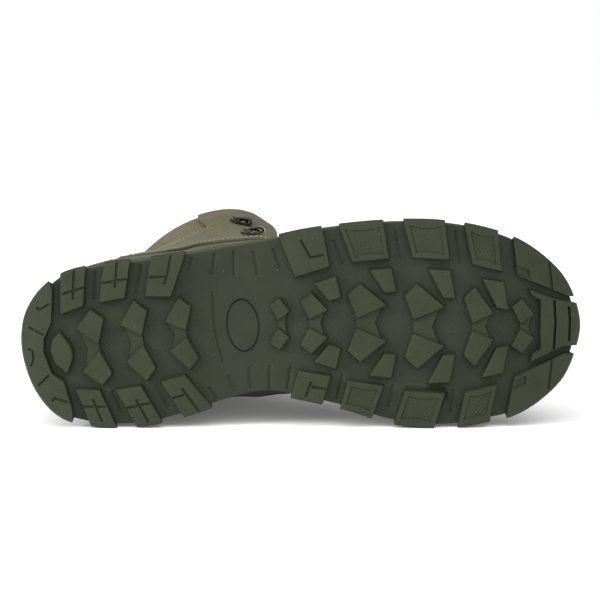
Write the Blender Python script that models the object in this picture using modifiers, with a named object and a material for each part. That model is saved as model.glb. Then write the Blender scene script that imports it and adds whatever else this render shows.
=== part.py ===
"""Right tactical boot, lying on its medial side with the sole facing -Y and the toe at +X.

The boot is worked out standing, in millimetres: along runs from heel to toe, out is the
distance to the lateral side of the forefoot's centre line, height is above the tread.
"""

from math import atan2, cos, pi, radians, sin

import bmesh
import bpy
import numpy as np
from mathutils import Matrix, Vector

MM = 0.001
GAP = 0.3

# Outline of the sole, a row for each section.
# columns: along, lateral edge, medial edge
SOLE_SECTIONS = (
    (0.0, -7.6, -7.6),
    (2.0, 5.0, -22.0),
    (8.0, 15.5, -36.0),
    (20.0, 25.8, -48.6),
    (40.0, 31.5, -53.8),
    (65.0, 34.8, -53.4),
    (90.0, 38.5, -47.2),
    (112.0, 42.2, -40.2),
    (131.0, 45.4, -36.5),
    (150.0, 49.8, -39.3),
    (175.0, 53.5, -44.8),
    (200.0, 55.4, -52.2),
    (225.0, 55.0, -54.6),
    (250.0, 50.6, -51.6),
    (265.0, 45.4, -48.4),
    (280.0, 35.8, -40.0),
    (292.0, 23.5, -28.4),
    (298.3, 10.0, -13.5),
    (300.4, -2.0, -2.0),
)
LAST_ROW = len(SOLE_SECTIONS) - 1

# Side profile of the sole: heel bevel, flat heel, arch, flat ball and toe spring.
# columns: along, lug tip, floor between lugs, top of outsole, top of midsole (feather line)
SOLE_PROFILE = (
    (0.0, 3.0, 7.0, 16.0, 37.0),
    (14.0, 0.0, 5.2, 14.0, 35.5),
    (84.0, 0.0, 5.2, 13.0, 31.5),
    (112.0, 4.5, 8.0, 14.0, 29.0),
    (138.0, 2.4, 6.8, 12.6, 26.0),
    (165.0, 0.0, 4.8, 10.5, 23.0),
    (226.0, 0.0, 4.8, 10.5, 21.5),
    (262.0, 4.0, 8.6, 14.4, 24.5),
    (300.4, 14.0, 18.4, 23.6, 32.0),
)
TIP, FLOOR, DECK, FEATHER = 1, 2, 3, 4

# Centre line of the heel, which swings to the medial side behind the waist.
HEEL_SWING_FROM = 118.0
HEEL_SWING_SLOPE = 0.155

# Ribs of the upper from the back of the heel round one side to the toe.
# Each is a Bezier curve from the feather line over two guides to the top edge.
# columns: foot along, low forward, low swell, low height,
#          high along, high out, high height, edge along, edge out, edge height
UPPER_RIBS = (
    (0.0, -9.0, 0.0, 80.0, 36.0, 0.0, 135.0, 30.0, 0.0, 213.0),
    (10.0, -7.0, 4.0, 82.0, 40.0, 14.0, 138.0, 35.5, 17.0, 213.5),
    (32.0, -4.0, 6.0, 86.0, 54.0, 25.0, 142.0, 52.0, 34.6, 215.0),
    (64.0, -3.0, 4.0, 88.0, 78.0, 29.0, 146.0, 79.0, 48.6, 217.5),
    (95.0, -3.0, 1.0, 90.0, 101.0, 28.0, 150.0, 112.0, 49.4, 220.0),
    (120.0, -3.0, -1.0, 90.0, 116.0, 31.0, 152.0, 128.5, 41.5, 222.0),
    (142.0, -3.0, 0.0, 82.0, 123.0, 35.0, 132.0, 134.0, 25.0, 166.0),
    (162.0, -2.0, 2.5, 70.0, 142.0, 40.0, 110.0, 154.0, 23.0, 127.0),
    (186.0, -1.0, 4.0, 60.0, 170.0, 41.0, 96.0, 178.0, 19.0, 102.0),
    (222.0, 0.0, 4.5, 52.0, 204.0, 33.0, 84.0, 201.0, 13.5, 89.5),
    (268.0, 2.0, 4.0, 58.0, 238.0, 16.0, 74.0, 208.5, 7.0, 86.0),
    (300.4, 2.0, 0.0, 60.0, 252.0, 0.0, 72.0, 210.0, 0.0, 85.0),
)
# Fuller medial side over the arch: how much further out a rib's low and high guides are there.
MEDIAL_FULLNESS = {3: (3.0, 3.0), 4: (20.0, 7.0), 5: (35.0, 7.0), 6: (29.0, 5.0), 7: (11.0, 0.0)}
HALF_RIBS = len(UPPER_RIBS) - 1
RIBS_ROUND = 2 * HALF_RIBS
COLLAR_CORNER_RIB = 5
THROAT_CORNER_RIB = 9
COLUMNS_PER_RIB = 3
UPPER_LEVELS = (0.0, 0.06, 0.15, 0.25, 0.36, 0.47, 0.58, 0.69, 0.80, 0.90, 0.925, 1.0)
FEATHER_INSET = 4.0
UPPER_WALL = 2.4
TAB_STEP = 2.0
TAB_FROM_LEVEL = 0.91
TAB_FROM_RIB = 3.0

# Leather overlay along the throat, whose wing sweeps back and down to the heel.
# columns: rib, lowest level, highest level
EYESTAY_EDGE = (
    (7.0 / 3.0, 0.28, 0.44),
    (8.0 / 3.0, 0.31, 0.62),
    (3.0, 0.36, 0.77),
    (10.0 / 3.0, 0.49, 0.85),
    (11.0 / 3.0, 0.60, 0.89),
    (13.0 / 3.0, 0.61, 0.89),
    (5.0, 0.62, 0.89),
    (6.0, 0.66, 0.95),
    (9.0, 0.66, 0.96),
)
EYESTAY_THICK = 1.5

TONGUE_THICK = 4.0
TONGUE_CLEAR = 2.2
TONGUE_TUCK_LEVELS = (0.80, 0.90, 1.0)
TONGUE_BRIDGE = (0.2, 0.4, 0.6, 0.8)
TONGUE_BRIDGE_PULL = 0.30
TONGUE_RISE = 9.0
TONGUE_TOE_REACH = 10.0

INSOLE_THICK = 4.0
INSOLE_INSET = FEATHER_INSET + UPPER_WALL + 1.8

# Rings up the side of outsole and midsole.
# columns: share of the height, inset from the outline
OUTSOLE_RINGS = ((0.0, 0.6), (0.15, 0.0), (1.0, 0.9))
MIDSOLE_RINGS = ((0.0, 1.4), (0.2, 0.2), (0.44, 0.2), (0.52, 1.1), (0.60, 0.0), (1.0, 1.2))
SOLE_STEPS = 3

LUG_DRAFT = 0.9
LUG_ROOT = 1.6
SIDE_PROUD = 2.3
SIDE_CHAMFER = 1.3
SIDE_SHOULDER = 2.2
SIDE_RISE = 5.5
SIDE_SINK = 1.0
SIDE_STEPS = 3

# Side lugs; the outer edge follows the sole's outline.
# columns: side (1 lateral, -1 medial), outer start, outer end, inner start, inner end (along),
#          inner start out, inner end out
SIDE_LUGS = (
    (1, 20.6, 33.8, 19.8, 32.0, 5.9, 10.5),
    (1, 43.6, 57.7, 40.9, 54.4, 12.5, 14.9),
    (1, 68.9, 87.5, 65.6, 79.4, 15.7, 15.7),
    (-1, 36.0, 49.6, 27.7, 40.5, -35.1, -35.5),
    (-1, 60.4, 74.3, 49.4, 63.1, -35.6, -33.3),
    (-1, 85.5, 100.9, 74.0, 86.8, -31.1, -27.3),
    (1, 138.1, 161.0, 146.4, 165.1, 26.2, 32.1),
    (1, 170.2, 194.1, 177.6, 197.3, 34.1, 36.3),
    (1, 204.8, 227.1, 210.1, 229.9, 36.8, 35.5),
    (1, 237.7, 255.6, 242.6, 258.2, 33.2, 29.2),
    (1, 264.1, 297.0, 267.4, 294.6, 26.6, 15.2),
    (-1, 144.3, 161.7, 148.6, 165.8, -25.1, -28.0),
    (-1, 171.4, 188.8, 175.3, 194.3, -30.3, -33.4),
    (-1, 200.7, 222.0, 206.3, 227.7, -35.9, -37.3),
    (-1, 234.7, 252.1, 239.1, 256.2, -36.8, -33.2),
    (-1, 261.3, 297.4, 266.0, 294.0, -29.2, -17.0),
)

# Kite lugs in mirrored pairs; a negative reach points to the heel.
# columns: along, centre out, half gap at the root, reach, tip out, spread
KITES = (
    (40.4, 0.0, 2.1, -10.7, 12.0, 20.8),
    (64.0, 0.0, 2.9, -10.5, 10.3, 21.9),
    (87.7, 0.0, 2.2, -10.2, 8.2, 19.7),
    (137.5, 0.3, 2.2, 5.8, 7.1, 13.9),
    (154.3, 0.8, 2.4, 9.6, 7.5, 16.4),
    (179.9, 1.2, 2.8, 15.9, 9.8, 21.1),
    (210.6, -0.8, 3.7, 16.8, 10.6, 23.2),
    (242.7, -1.1, 2.0, 11.5, 7.2, 21.6),
    (269.1, -1.3, 1.6, 7.5, 6.5, 14.8),
)
KITE_BACK = 4.7
KITE_BACK_SHARE = 0.72
KITE_LEAN = 0.12
WEB_DEPTH = 2.2
WEB_NOTCH = 0.62
WEB_REACH = 0.86

# Trapezoid lugs in mirrored pairs, between the kites and the side lugs.
# columns: along, centre out, inner out, outer out, turn in degrees
TRAPEZOIDS = (
    (168.2, 1.2, 13.0, 23.3, 18.0),
    (198.2, 1.0, 16.9, 29.3, 5.0),
    (230.5, -0.8, 15.5, 30.7, -3.0),
    (259.2, -1.9, 10.4, 25.8, -11.0),
)
TRAPEZOID_INNER = 6.4
TRAPEZOID_OUTER = 11.8
TRAPEZOID_SHIFT = -5.4

# Inner edge of the heel crescent, and the lens lug in front of it.
# columns: along, out
HEEL_CRESCENT_INNER = (
    (15.2, 19.6), (14.5, 1.5), (10.3, -7.6), (10.1, -14.5), (14.5, -26.4), (21.1, -31.0), (25.6, -46.5),
)
HEEL_CRESCENT_ENDS = (14.6, 26.0)
HEEL_LENS = (
    (19.0, -3.6), (25.0, -11.6), (26.2, -17.4), (23.2, -26.4), (16.6, -20.8), (14.2, -14.4), (15.2, -8.6),
)
# Toe bar with its two ears; its front edge follows the outline.
# columns: along, out
TOE_BAR_BACK = (
    (292.0, 12.2), (286.4, 13.8), (274.0, 18.6), (275.4, 15.6), (280.4, 13.0),
    (280.4, -14.2), (275.8, -16.6), (275.2, -20.4), (288.0, -14.6), (293.0, -12.6),
)
TOE_BAR_ENDS = (298.3, 298.7)

# Thin oval groove in the waist.
OVAL_ALONG = 118.1
OVAL_OUT = -0.8
OVAL_LONG = 14.2
OVAL_SHORT = 8.6
OVAL_TURN = radians(5.4)
OVAL_GROOVE = 1.1
OVAL_DEPTH = 1.3
OVAL_SIDES = 40

# Speed hooks on the shaft: rib and level of each pair.
HOOK_PLACES = ((5.0, 0.69), (4.25, 0.87))
HOOK_WIDTH = 7.0
HOOK_METAL = 1.3
HOOK_CLEAR = 0.7
# Bent strip of a hook, from the back of its base over the bend to the lip.
# columns: forward along the shaft's side, away from the leather
HOOK_BEND = (
    (-6.5, 0.8), (4.0, 0.8), (6.0, 1.3), (6.7, 2.3), (6.0, 3.3), (4.2, 3.7), (-1.0, 3.5), (-5.5, 4.1),
)

# Eyelet rings along the lower throat.
EYELET_RIBS = (6.15, 6.8, 7.45, 8.1, 8.7)
EYELET_BACK = 11.0
EYELET_RING = 4.2
EYELET_WIRE = 1.1
EYELET_CLEAR = 1.1
EYELET_SIDES = 10
EYELET_WIRE_SIDES = 4

LACE_RADIUS = 2.0
LACE_CLEAR = 2.8
LACE_PULL = 0.22
LACE_STEPS = 5
LACE_SIDES = 5

FLOOR_TRIM = 0.5

# Small steps for measuring directions, in sections, levels and millimetres.
STEP = 0.02
EYELET_STEP = 0.01


def finish_colours():
    """Colour, roughness and metallic value of each finish."""
    return {
        "rubber": ((0.062, 0.070, 0.040), 0.62, 0.0),
        "foam": ((0.070, 0.078, 0.046), 0.70, 0.0),
        "foot_bed": ((0.050, 0.050, 0.042), 0.90, 0.0),
        "nubuck": ((0.150, 0.138, 0.088), 0.85, 0.0),
        "suede": ((0.120, 0.120, 0.074), 0.88, 0.0),
        "padding": ((0.130, 0.112, 0.072), 0.90, 0.0),
        "gunmetal": ((0.105, 0.105, 0.105), 0.32, 1.0),
        "cord": ((0.085, 0.085, 0.055), 0.85, 0.0),
    }


class Loop:
    """Smooth closed curve through a ring of points, by chord-length Hermite pieces."""

    def __init__(self, points, measure=slice(None)):
        self.points = np.array(points, dtype=float)
        ahead = np.roll(self.points, -1, axis=0) - self.points
        self.chord = np.linalg.norm(ahead[:, measure], axis=1)
        before = np.roll(self.chord, 1)
        slope = ahead / self.chord[:, None]
        slope_before = np.roll(slope, 1, axis=0)
        weight = (self.chord / (self.chord + before))[:, None]
        self.tangent = slope_before * weight + slope * (1.0 - weight)

    def at(self, t):
        count = len(self.points)
        start = int(np.floor(t)) % count
        end = (start + 1) % count
        f = t - np.floor(t)
        chord = self.chord[start]
        return (
            self.points[start] * (1.0 - f) ** 2 * (1.0 + 2.0 * f)
            + self.points[end] * f * f * (3.0 - 2.0 * f)
            + self.tangent[start] * chord * f * (1.0 - f) ** 2
            - self.tangent[end] * chord * f * f * (1.0 - f)
        )


def monotone(table, column, x):
    """Monotone cubic through one column of a table, so that level stretches stay level."""
    xs = [row[0] for row in table]
    ys = [row[column] for row in table]
    x = min(max(x, xs[0]), xs[-1])
    i = min(int(np.searchsorted(xs, x, side="right")) - 1, len(xs) - 2)
    slopes = [(ys[k + 1] - ys[k]) / (xs[k + 1] - xs[k]) for k in range(len(xs) - 1)]

    def tangent(k):
        if k == 0 or k == len(xs) - 1:
            return slopes[min(k, len(slopes) - 1)]
        left, right = slopes[k - 1], slopes[k]
        return 0.0 if left * right <= 0.0 else 2.0 * left * right / (left + right)

    span = xs[i + 1] - xs[i]
    f = (x - xs[i]) / span
    return (
        ys[i] * (1.0 - f) ** 2 * (1.0 + 2.0 * f)
        + ys[i + 1] * f * f * (3.0 - 2.0 * f)
        + tangent(i) * span * f * (1.0 - f) ** 2
        - tangent(i + 1) * span * f * f * (1.0 - f)
    )


def outline_ring():
    """Sole outline from the heel tip up the lateral side to the toe and back."""
    lateral = [(along, out) for along, out, _ in SOLE_SECTIONS]
    medial = [(along, out) for along, _, out in SOLE_SECTIONS[1:-1]]
    return Loop(lateral + medial[::-1])


OUTLINE = outline_ring()


def centre_out(along):
    """Distance of the last's centre line from the forefoot's."""
    return -HEEL_SWING_SLOPE * max(0.0, HEEL_SWING_FROM - along)


def level(column, along):
    return monotone(SOLE_PROFILE, column, along)


def outline(t, inset=0.0):
    """Point of the outline at section number t, moved inwards by inset."""
    ahead = OUTLINE.at(t + STEP) - OUTLINE.at(t - STEP)
    ahead /= np.linalg.norm(ahead)
    return OUTLINE.at(t) + inset * np.array((ahead[1], -ahead[0]))


def section_number(along, side):
    """Section number where the outline of one side passes a given length."""
    low, high = 0.0, float(LAST_ROW)
    for _ in range(40):
        middle = 0.5 * (low + high)
        if OUTLINE.at(middle if side > 0 else 2 * LAST_ROW - middle)[0] < along:
            low = middle
        else:
            high = middle
    return low if side > 0 else 2 * LAST_ROW - low


def to_metres(along, out, height):
    """Standing boot to metres, with the medial side of a right boot at +Y."""
    return Vector((along, -out, height)) * MM


def upper_ring():
    """Loop through the ribs of both sides: feather place, two guides and the edge."""
    rows = []
    for rib in range(RIBS_ROUND):
        side = 1 if rib <= HALF_RIBS else -1
        row = UPPER_RIBS[rib if side > 0 else RIBS_ROUND - rib]
        foot_along, forward, swell, low_height = row[:4]
        number = section_number(foot_along, side)
        foot = outline(number, FEATHER_INSET)
        fuller_low, fuller_high = MEDIAL_FULLNESS.get(RIBS_ROUND - rib, (0.0, 0.0))
        low = (foot[0] + forward, foot[1] + side * (swell + fuller_low), low_height)
        high = (row[4], centre_out(row[4]) + side * (row[5] + fuller_high), row[6])
        edge = (row[7], centre_out(row[7]) + side * row[8], row[9])
        drift = number - 2.0 * LAST_ROW * rib / RIBS_ROUND
        rows.append((drift,) + low + high + edge)
    return Loop(rows, measure=slice(7, 10))


UPPER = upper_ring()


def upper_point(rib, lift):
    """Outer face of the upper: rib number round the boot, lift from feather to edge."""
    row = UPPER.at(rib % RIBS_ROUND)
    number = row[0] + 2.0 * LAST_ROW * (rib % RIBS_ROUND) / RIBS_ROUND
    along, out = outline(number, FEATHER_INSET)
    foot = np.array((along, out, level(FEATHER, along) + GAP))
    low, high, edge = row[1:4], row[4:7], row[7:10]
    down = 1.0 - lift
    return down**3 * foot + 3 * down * down * lift * low + 3 * down * lift * lift * high + lift**3 * edge


def upper_normal(rib, lift):
    """Outward direction of the upper's face."""
    round_it = upper_point(rib + STEP, lift) - upper_point(rib - STEP, lift)
    upward = upper_point(rib, min(lift + STEP, 1.0)) - upper_point(rib, max(lift - STEP, 0.0))
    # out runs against Y, so the cross product is turned round
    normal = -np.cross(round_it, upward)
    return normal / np.linalg.norm(normal)


def upper_face(rib, lift, offset):
    return upper_point(rib, lift) + offset * upper_normal(rib, lift)


def tab_step(rib, lift):
    """Extra thickness of the leather tab at the collar, in front of the textile."""
    from_back = min(rib % RIBS_ROUND, RIBS_ROUND - rib % RIBS_ROUND)
    rise = COLUMNS_PER_RIB * (from_back - TAB_FROM_RIB)
    fade = min(max(min(rise, COLLAR_CORNER_RIB - from_back), 0.0), 1.0)
    return TAB_STEP * fade if lift > TAB_FROM_LEVEL else 0.0


def new_object(name, bm, collection):
    """Closed mesh object from a bmesh, with its faces turned outwards."""
    bmesh.ops.remove_doubles(bm, verts=bm.verts, dist=1e-6)
    bmesh.ops.triangulate(bm, faces=bm.faces)
    bmesh.ops.recalc_face_normals(bm, faces=bm.faces)
    mesh = bpy.data.meshes.new(name)
    bm.to_mesh(mesh)
    bm.free()
    made = bpy.data.objects.new(name, mesh)
    collection.objects.link(made)
    return made


def loft(bm, rings, capped=True):
    """Skin between closed rings of equal length, with flat caps at both ends."""
    rows = [[bm.verts.new(to_metres(*point)) for point in ring] for ring in rings]
    count = len(rows[0])
    for lower, upper in zip(rows, rows[1:]):
        for i in range(count):
            j = (i + 1) % count
            bm.faces.new((lower[i], lower[j], upper[j], upper[i]))
    if capped:
        bm.faces.new(rows[0])
        bm.faces.new(rows[-1])
    return rows


def ladder_cap(bm, ring):
    """Cap of a sole ring: rungs between the lateral and the medial side."""
    count = len(ring)
    half = count // 2
    for i in range(half):
        rung = (ring[i], ring[i + 1], ring[(count - i - 1) % count], ring[(count - i) % count])
        bm.faces.new(list(dict.fromkeys(rung)))


def sole_layer(name, rings, bottom, top, collection, lift=0.0):
    """Layer of the sole between two profile columns, with stepped sides."""
    bm = bmesh.new()
    count = 2 * LAST_ROW * SOLE_STEPS
    rows = []
    for share, inset in rings:
        ring = []
        for i in range(count):
            along, out = outline(i / SOLE_STEPS, inset)
            low = level(bottom, along) + lift
            ring.append((along, out, low + share * (level(top, along) - low)))
        rows.append(ring)
    made = loft(bm, rows, capped=False)
    ladder_cap(bm, made[0])
    ladder_cap(bm, made[-1])
    return new_object(name, bm, collection)


def grown(polygon, amount):
    """Polygon with each edge moved outwards by amount."""
    points = [np.array(point) for point in polygon]
    area = sum(a[0] * b[1] - a[1] * b[0] for a, b in zip(points, points[1:] + points[:1]))
    turn = 1.0 if area > 0 else -1.0
    moved = []
    for before, here, after in zip(points[-1:] + points[:-1], points, points[1:] + points[:1]):
        first = (here - before) / np.linalg.norm(here - before)
        second = (after - here) / np.linalg.norm(after - here)
        normal_first = turn * np.array((first[1], -first[0]))
        normal_second = turn * np.array((second[1], -second[0]))
        middle = normal_first + normal_second
        moved.append(here + amount * 2.0 * middle / max(np.dot(middle, middle), 1.0))
    return moved


def tread_block(bm, polygon, drop=TIP, rise=0.0):
    """Lug with sloping walls from its tip up into the outsole."""
    tip = [(a, o, level(drop, a) + rise) for a, o in polygon]
    root = [(a, o, level(FLOOR, a) + LUG_ROOT) for a, o in grown(polygon, LUG_DRAFT)]
    loft(bm, [tip, root])


def outline_run(start, end, inset):
    """Points along the outline between two section numbers."""
    steps = max(SIDE_STEPS, round(SIDE_STEPS * abs(end - start)))
    return [outline(start + (end - start) * i / steps, inset) for i in range(steps + 1)]


def edge_block(bm, start, end, inner):
    """Lug on the sole's edge, whose outer face goes on up the side as a rib."""
    edge = outline_run(start, end, 0.0)
    body = edge + [np.array(point) for point in inner]
    wide = grown(body, LUG_DRAFT)

    def ring(points, inset, height):
        moved = outline_run(start, end, inset)
        return [(a, o, height(a)) for a, o in moved + points[len(edge):]]

    half = [(a + b) / 2 for a, b in zip(body, wide)]
    loft(bm, [
        ring(body, SIDE_CHAMFER - SIDE_PROUD, lambda a: level(TIP, a)),
        ring(half, -SIDE_PROUD, lambda a: level(TIP, a) + SIDE_SHOULDER),
        ring(wide, SIDE_SINK, lambda a: level(FLOOR, a) + SIDE_RISE),
    ])


def side_lugs(bm):
    for side, outer_start, outer_end, inner_start, inner_end, out_start, out_end in SIDE_LUGS:
        start = section_number(outer_start, side)
        end = section_number(outer_end, side)
        edge_block(bm, start, end, ((inner_end, out_end), (inner_start, out_start)))


def swung(along, centre, offset, out, side):
    """Point of a mirrored pair, on the centre line's own direction."""
    slope = HEEL_SWING_SLOPE if along < HEEL_SWING_FROM else 0.0
    angle = atan2(slope, 1.0)
    a = offset * cos(angle) - side * out * sin(angle)
    o = offset * sin(angle) + side * out * cos(angle)
    return (along + a, centre_out(along) + centre + o)


def kite_lugs(bm):
    for along, centre, root, reach, tip_out, spread in KITES:
        front = 1.0 if reach > 0 else -1.0
        corners = (
            (0.0, root),
            (reach, tip_out),
            (KITE_LEAN * reach, spread),
            (-front * KITE_BACK, KITE_BACK_SHARE * spread),
        )
        for side in (1, -1):
            tread_block(bm, [swung(along, centre, offset, out, side) for offset, out in corners])


def trapezoid_lugs(bm):
    for along, centre, inner, outer, turn in TRAPEZOIDS:
        tilt = np.tan(radians(turn))
        ends = ((along, TRAPEZOID_INNER / 2, inner), (along + TRAPEZOID_SHIFT, -TRAPEZOID_OUTER / 2, outer))
        for side in (1, -1):
            corners = []
            for middle, half, out in ends:
                corners.append((middle - half, centre + side * (out - half * tilt)))
                corners.append((middle + half, centre + side * (out + half * tilt)))
            tread_block(bm, corners)


def heel_and_toe_lugs(bm):
    heel_lateral = section_number(HEEL_CRESCENT_ENDS[0], 1)
    heel_medial = section_number(HEEL_CRESCENT_ENDS[1], -1) - 2 * LAST_ROW
    edge_block(bm, heel_medial, heel_lateral, HEEL_CRESCENT_INNER)
    tread_block(bm, HEEL_LENS)
    toe_lateral = section_number(TOE_BAR_ENDS[0], 1)
    toe_medial = section_number(TOE_BAR_ENDS[1], -1)
    edge_block(bm, toe_lateral, toe_medial, TOE_BAR_BACK[::-1])


def kite_webs(bm):
    """Low bow-tie plates that join the two kites of a pair."""
    for along, centre, root, reach, tip_out, _ in KITES:
        tip = (WEB_REACH * reach, tip_out)
        polygon = [swung(along, centre, 0.0, root, 1), swung(along, centre, *tip, 1)]
        polygon += [swung(along, centre, WEB_NOTCH * reach, 0.0, 1)]
        polygon += [swung(along, centre, *tip, -1), swung(along, centre, 0.0, root, -1)]
        tread_block(bm, polygon, FLOOR, -WEB_DEPTH)


def oval_groove(bm):
    """Ring that is sunk into the waist's floor."""
    rings = []
    for sink in (OVAL_DEPTH, -2.0 * OVAL_DEPTH):
        for sign in (-1, 1) if sink > 0 else (1, -1):
            ring = []
            for i in range(OVAL_SIDES):
                angle = 2.0 * pi * i / OVAL_SIDES
                a = (OVAL_SHORT + sign * OVAL_GROOVE / 2) * cos(angle)
                o = (OVAL_LONG + sign * OVAL_GROOVE / 2) * sin(angle)
                along = OVAL_ALONG + a * cos(OVAL_TURN) - o * sin(OVAL_TURN)
                out = OVAL_OUT + a * sin(OVAL_TURN) + o * cos(OVAL_TURN)
                ring.append((along, out, level(FLOOR, along) + sink))
            rings.append(ring)
    loft(bm, rings + rings[:1], capped=False)


def join(target, operand, operation):
    """Boolean with a helper object, kept as a modifier."""
    modifier = target.modifiers.new(operand.name, "BOOLEAN")
    modifier.operation = operation
    modifier.object = operand
    modifier.solver = "EXACT"
    operand.hide_render = True
    operand.display_type = "WIRE"


def make_outsole(parts, helpers):
    outsole = sole_layer("outsole", OUTSOLE_RINGS, FLOOR, DECK, parts)
    webs = bmesh.new()
    kite_webs(webs)
    join(outsole, new_object("web_plates", webs, helpers), "UNION")
    lugs = bmesh.new()
    for family in (side_lugs, kite_lugs, trapezoid_lugs, heel_and_toe_lugs):
        family(lugs)
    join(outsole, new_object("lug_blocks", lugs, helpers), "UNION")
    groove = bmesh.new()
    oval_groove(groove)
    join(outsole, new_object("oval_ring", groove, helpers), "DIFFERENCE")
    return outsole


def make_insole(parts):
    bm = bmesh.new()
    rings = []
    for rise in (GAP, GAP + INSOLE_THICK):
        ring = []
        for i in range(2 * LAST_ROW * 2):
            along, out = outline(i / 2, INSOLE_INSET)
            ring.append((along, out, level(FEATHER, along) + rise))
        rings.append(ring)
    made = loft(bm, rings, capped=False)
    ladder_cap(bm, made[0])
    ladder_cap(bm, made[1])
    return new_object("insole", bm, parts)


def make_upper(parts):
    bm = bmesh.new()
    ribs = [i / COLUMNS_PER_RIB for i in range(RIBS_ROUND * COLUMNS_PER_RIB)]
    outer = [[upper_face(r, v, tab_step(r, v)) for r in ribs] for v in UPPER_LEVELS]
    inner = [[upper_face(r, v, -UPPER_WALL) for r in ribs] for v in UPPER_LEVELS]
    # the wall's lower edge stays level, so that it sits on the sole
    for ring_in, ring_out in zip(inner[0], outer[0]):
        ring_in[2] = ring_out[2]
    loft(bm, outer + inner[::-1] + outer[:1], capped=False)
    return new_object("upper", bm, parts)


def shell(name, outer, inner, collection):
    """Closed plate between two grids of points of the same size."""
    bm = bmesh.new()
    faces = [[[bm.verts.new(to_metres(*point)) for point in row] for row in grid] for grid in (outer, inner)]
    rows, columns = len(outer), len(outer[0])
    for grid in faces:
        for i in range(rows - 1):
            for j in range(columns - 1):
                bm.faces.new((grid[i][j], grid[i][j + 1], grid[i + 1][j + 1], grid[i + 1][j]))
    border = [(0, j) for j in range(columns)] + [(i, columns - 1) for i in range(1, rows)]
    border += [(rows - 1, j) for j in range(columns - 2, -1, -1)] + [(i, 0) for i in range(rows - 2, 0, -1)]
    for (i, j), (k, m) in zip(border, border[1:] + border[:1]):
        bm.faces.new((faces[0][i][j], faces[0][k][m], faces[1][k][m], faces[1][i][j]))
    return new_object(name, bm, collection)


def on_facets(rib, lift, offset):
    """Point over the upper's own facets, between two of its levels."""
    i = min(int(np.searchsorted(UPPER_LEVELS, lift, side="right")) - 1, len(UPPER_LEVELS) - 2)
    share = (lift - UPPER_LEVELS[i]) / (UPPER_LEVELS[i + 1] - UPPER_LEVELS[i])
    low = upper_face(rib, UPPER_LEVELS[i], offset)
    high = upper_face(rib, UPPER_LEVELS[i + 1], offset)
    return low + share * (high - low)


def make_eyestay(name, side, parts):
    """Leather overlay, cut from the upper's own form between two offsets."""
    first = round(EYESTAY_EDGE[0][0] * COLUMNS_PER_RIB)
    last = round(EYESTAY_EDGE[-1][0] * COLUMNS_PER_RIB)
    grids = []
    for offset in (GAP + EYESTAY_THICK, GAP):
        grid = []
        for i in range(first, last + 1):
            rib = i / COLUMNS_PER_RIB
            low = monotone(EYESTAY_EDGE, 1, rib)
            high = monotone(EYESTAY_EDGE, 2, rib)
            lifts = [min(max(v, low), high) for v in UPPER_LEVELS]
            grid.append([on_facets(side * rib, lift, offset) for lift in lifts])
        grids.append(grid)
    return shell(name, grids[0], grids[1], parts)


def tongue_row(rib, offset):
    """Section of the tongue under both edges of the throat at one rib."""
    lateral = [upper_face(rib, v, offset) for v in TONGUE_TUCK_LEVELS]
    medial = [upper_face(-rib, v, offset) for v in TONGUE_TUCK_LEVELS]
    width = np.linalg.norm(lateral[-1] - medial[-1])

    def onward(run):
        step = run[-1] - run[-2]
        return run[-1] + TONGUE_BRIDGE_PULL * width * step / np.linalg.norm(step)

    a, b, c, d = lateral[-1], onward(lateral), onward(medial), medial[-1]
    bridge = []
    for t in TONGUE_BRIDGE:
        s = 1.0 - t
        bridge.append(s**3 * a + 3 * s * s * t * b + 3 * s * t * t * c + t**3 * d)
    return lateral + bridge + medial[::-1]


def make_tongue(parts):
    count = COLUMNS_PER_RIB * (THROAT_CORNER_RIB - COLLAR_CORNER_RIB)
    ribs = [THROAT_CORNER_RIB - i / COLUMNS_PER_RIB for i in range(count + 1)]
    grids = []
    for offset in (-UPPER_WALL - TONGUE_CLEAR, -UPPER_WALL - TONGUE_CLEAR - TONGUE_THICK):
        grid = [np.array(tongue_row(rib, offset)) for rib in ribs]
        forward = grid[0] - grid[1]
        forward *= TONGUE_TOE_REACH / np.linalg.norm(forward, axis=1)[:, None]
        upward = grid[-1] - grid[-2]
        upward *= TONGUE_RISE / np.linalg.norm(upward, axis=1)[:, None]
        grids.append([grid[0] + forward] + grid + [grid[-1] + upward])
    return shell("tongue", grids[0], grids[1], parts)


def surface_frame(rib, lift, offset):
    """Place on the boot's side: X level round the boot, Y up the rib, Z outwards."""
    here = to_metres(*upper_face(rib, lift, offset))
    outward = (to_metres(*upper_face(rib, lift, offset + 1.0)) - here).normalized()
    up = to_metres(*upper_face(rib, lift + STEP, offset)) - here
    up = (up - outward * up.dot(outward)).normalized()
    across = up.cross(outward)
    frame = Matrix((across, up, outward)).transposed().to_4x4()
    frame.translation = here
    return frame


def make_hook(name, rib, lift, side, parts):
    """Stamped speed hook: a bent strip on the eyestay."""
    bm = bmesh.new()
    place = surface_frame(side * rib, lift, GAP + EYESTAY_THICK + HOOK_CLEAR)
    rows = []
    for across in (-HOOK_WIDTH / 2, HOOK_WIDTH / 2):
        row = [bm.verts.new(place @ (Vector((side * ahead, across, away)) * MM)) for ahead, away in HOOK_BEND]
        rows.append(row)
    for i in range(len(HOOK_BEND) - 1):
        bm.faces.new((rows[0][i], rows[0][i + 1], rows[1][i + 1], rows[1][i]))
    bmesh.ops.recalc_face_normals(bm, faces=bm.faces)
    mesh = bpy.data.meshes.new(name)
    bm.to_mesh(mesh)
    bm.free()
    hook = bpy.data.objects.new(name, mesh)
    parts.objects.link(hook)
    thick = hook.modifiers.new("metal", "SOLIDIFY")
    thick.thickness = HOOK_METAL * MM
    thick.offset = 0.0
    thick.use_even_offset = True
    return hook


def eyelet_place(rib, side, offset):
    """Point a set distance back from the throat's edge, along the rib."""
    lift = 1.0
    edge = upper_face(side * rib, 1.0, offset)
    while np.linalg.norm(upper_face(side * rib, lift, offset) - edge) < EYELET_BACK:
        lift -= EYELET_STEP
    return lift


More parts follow.
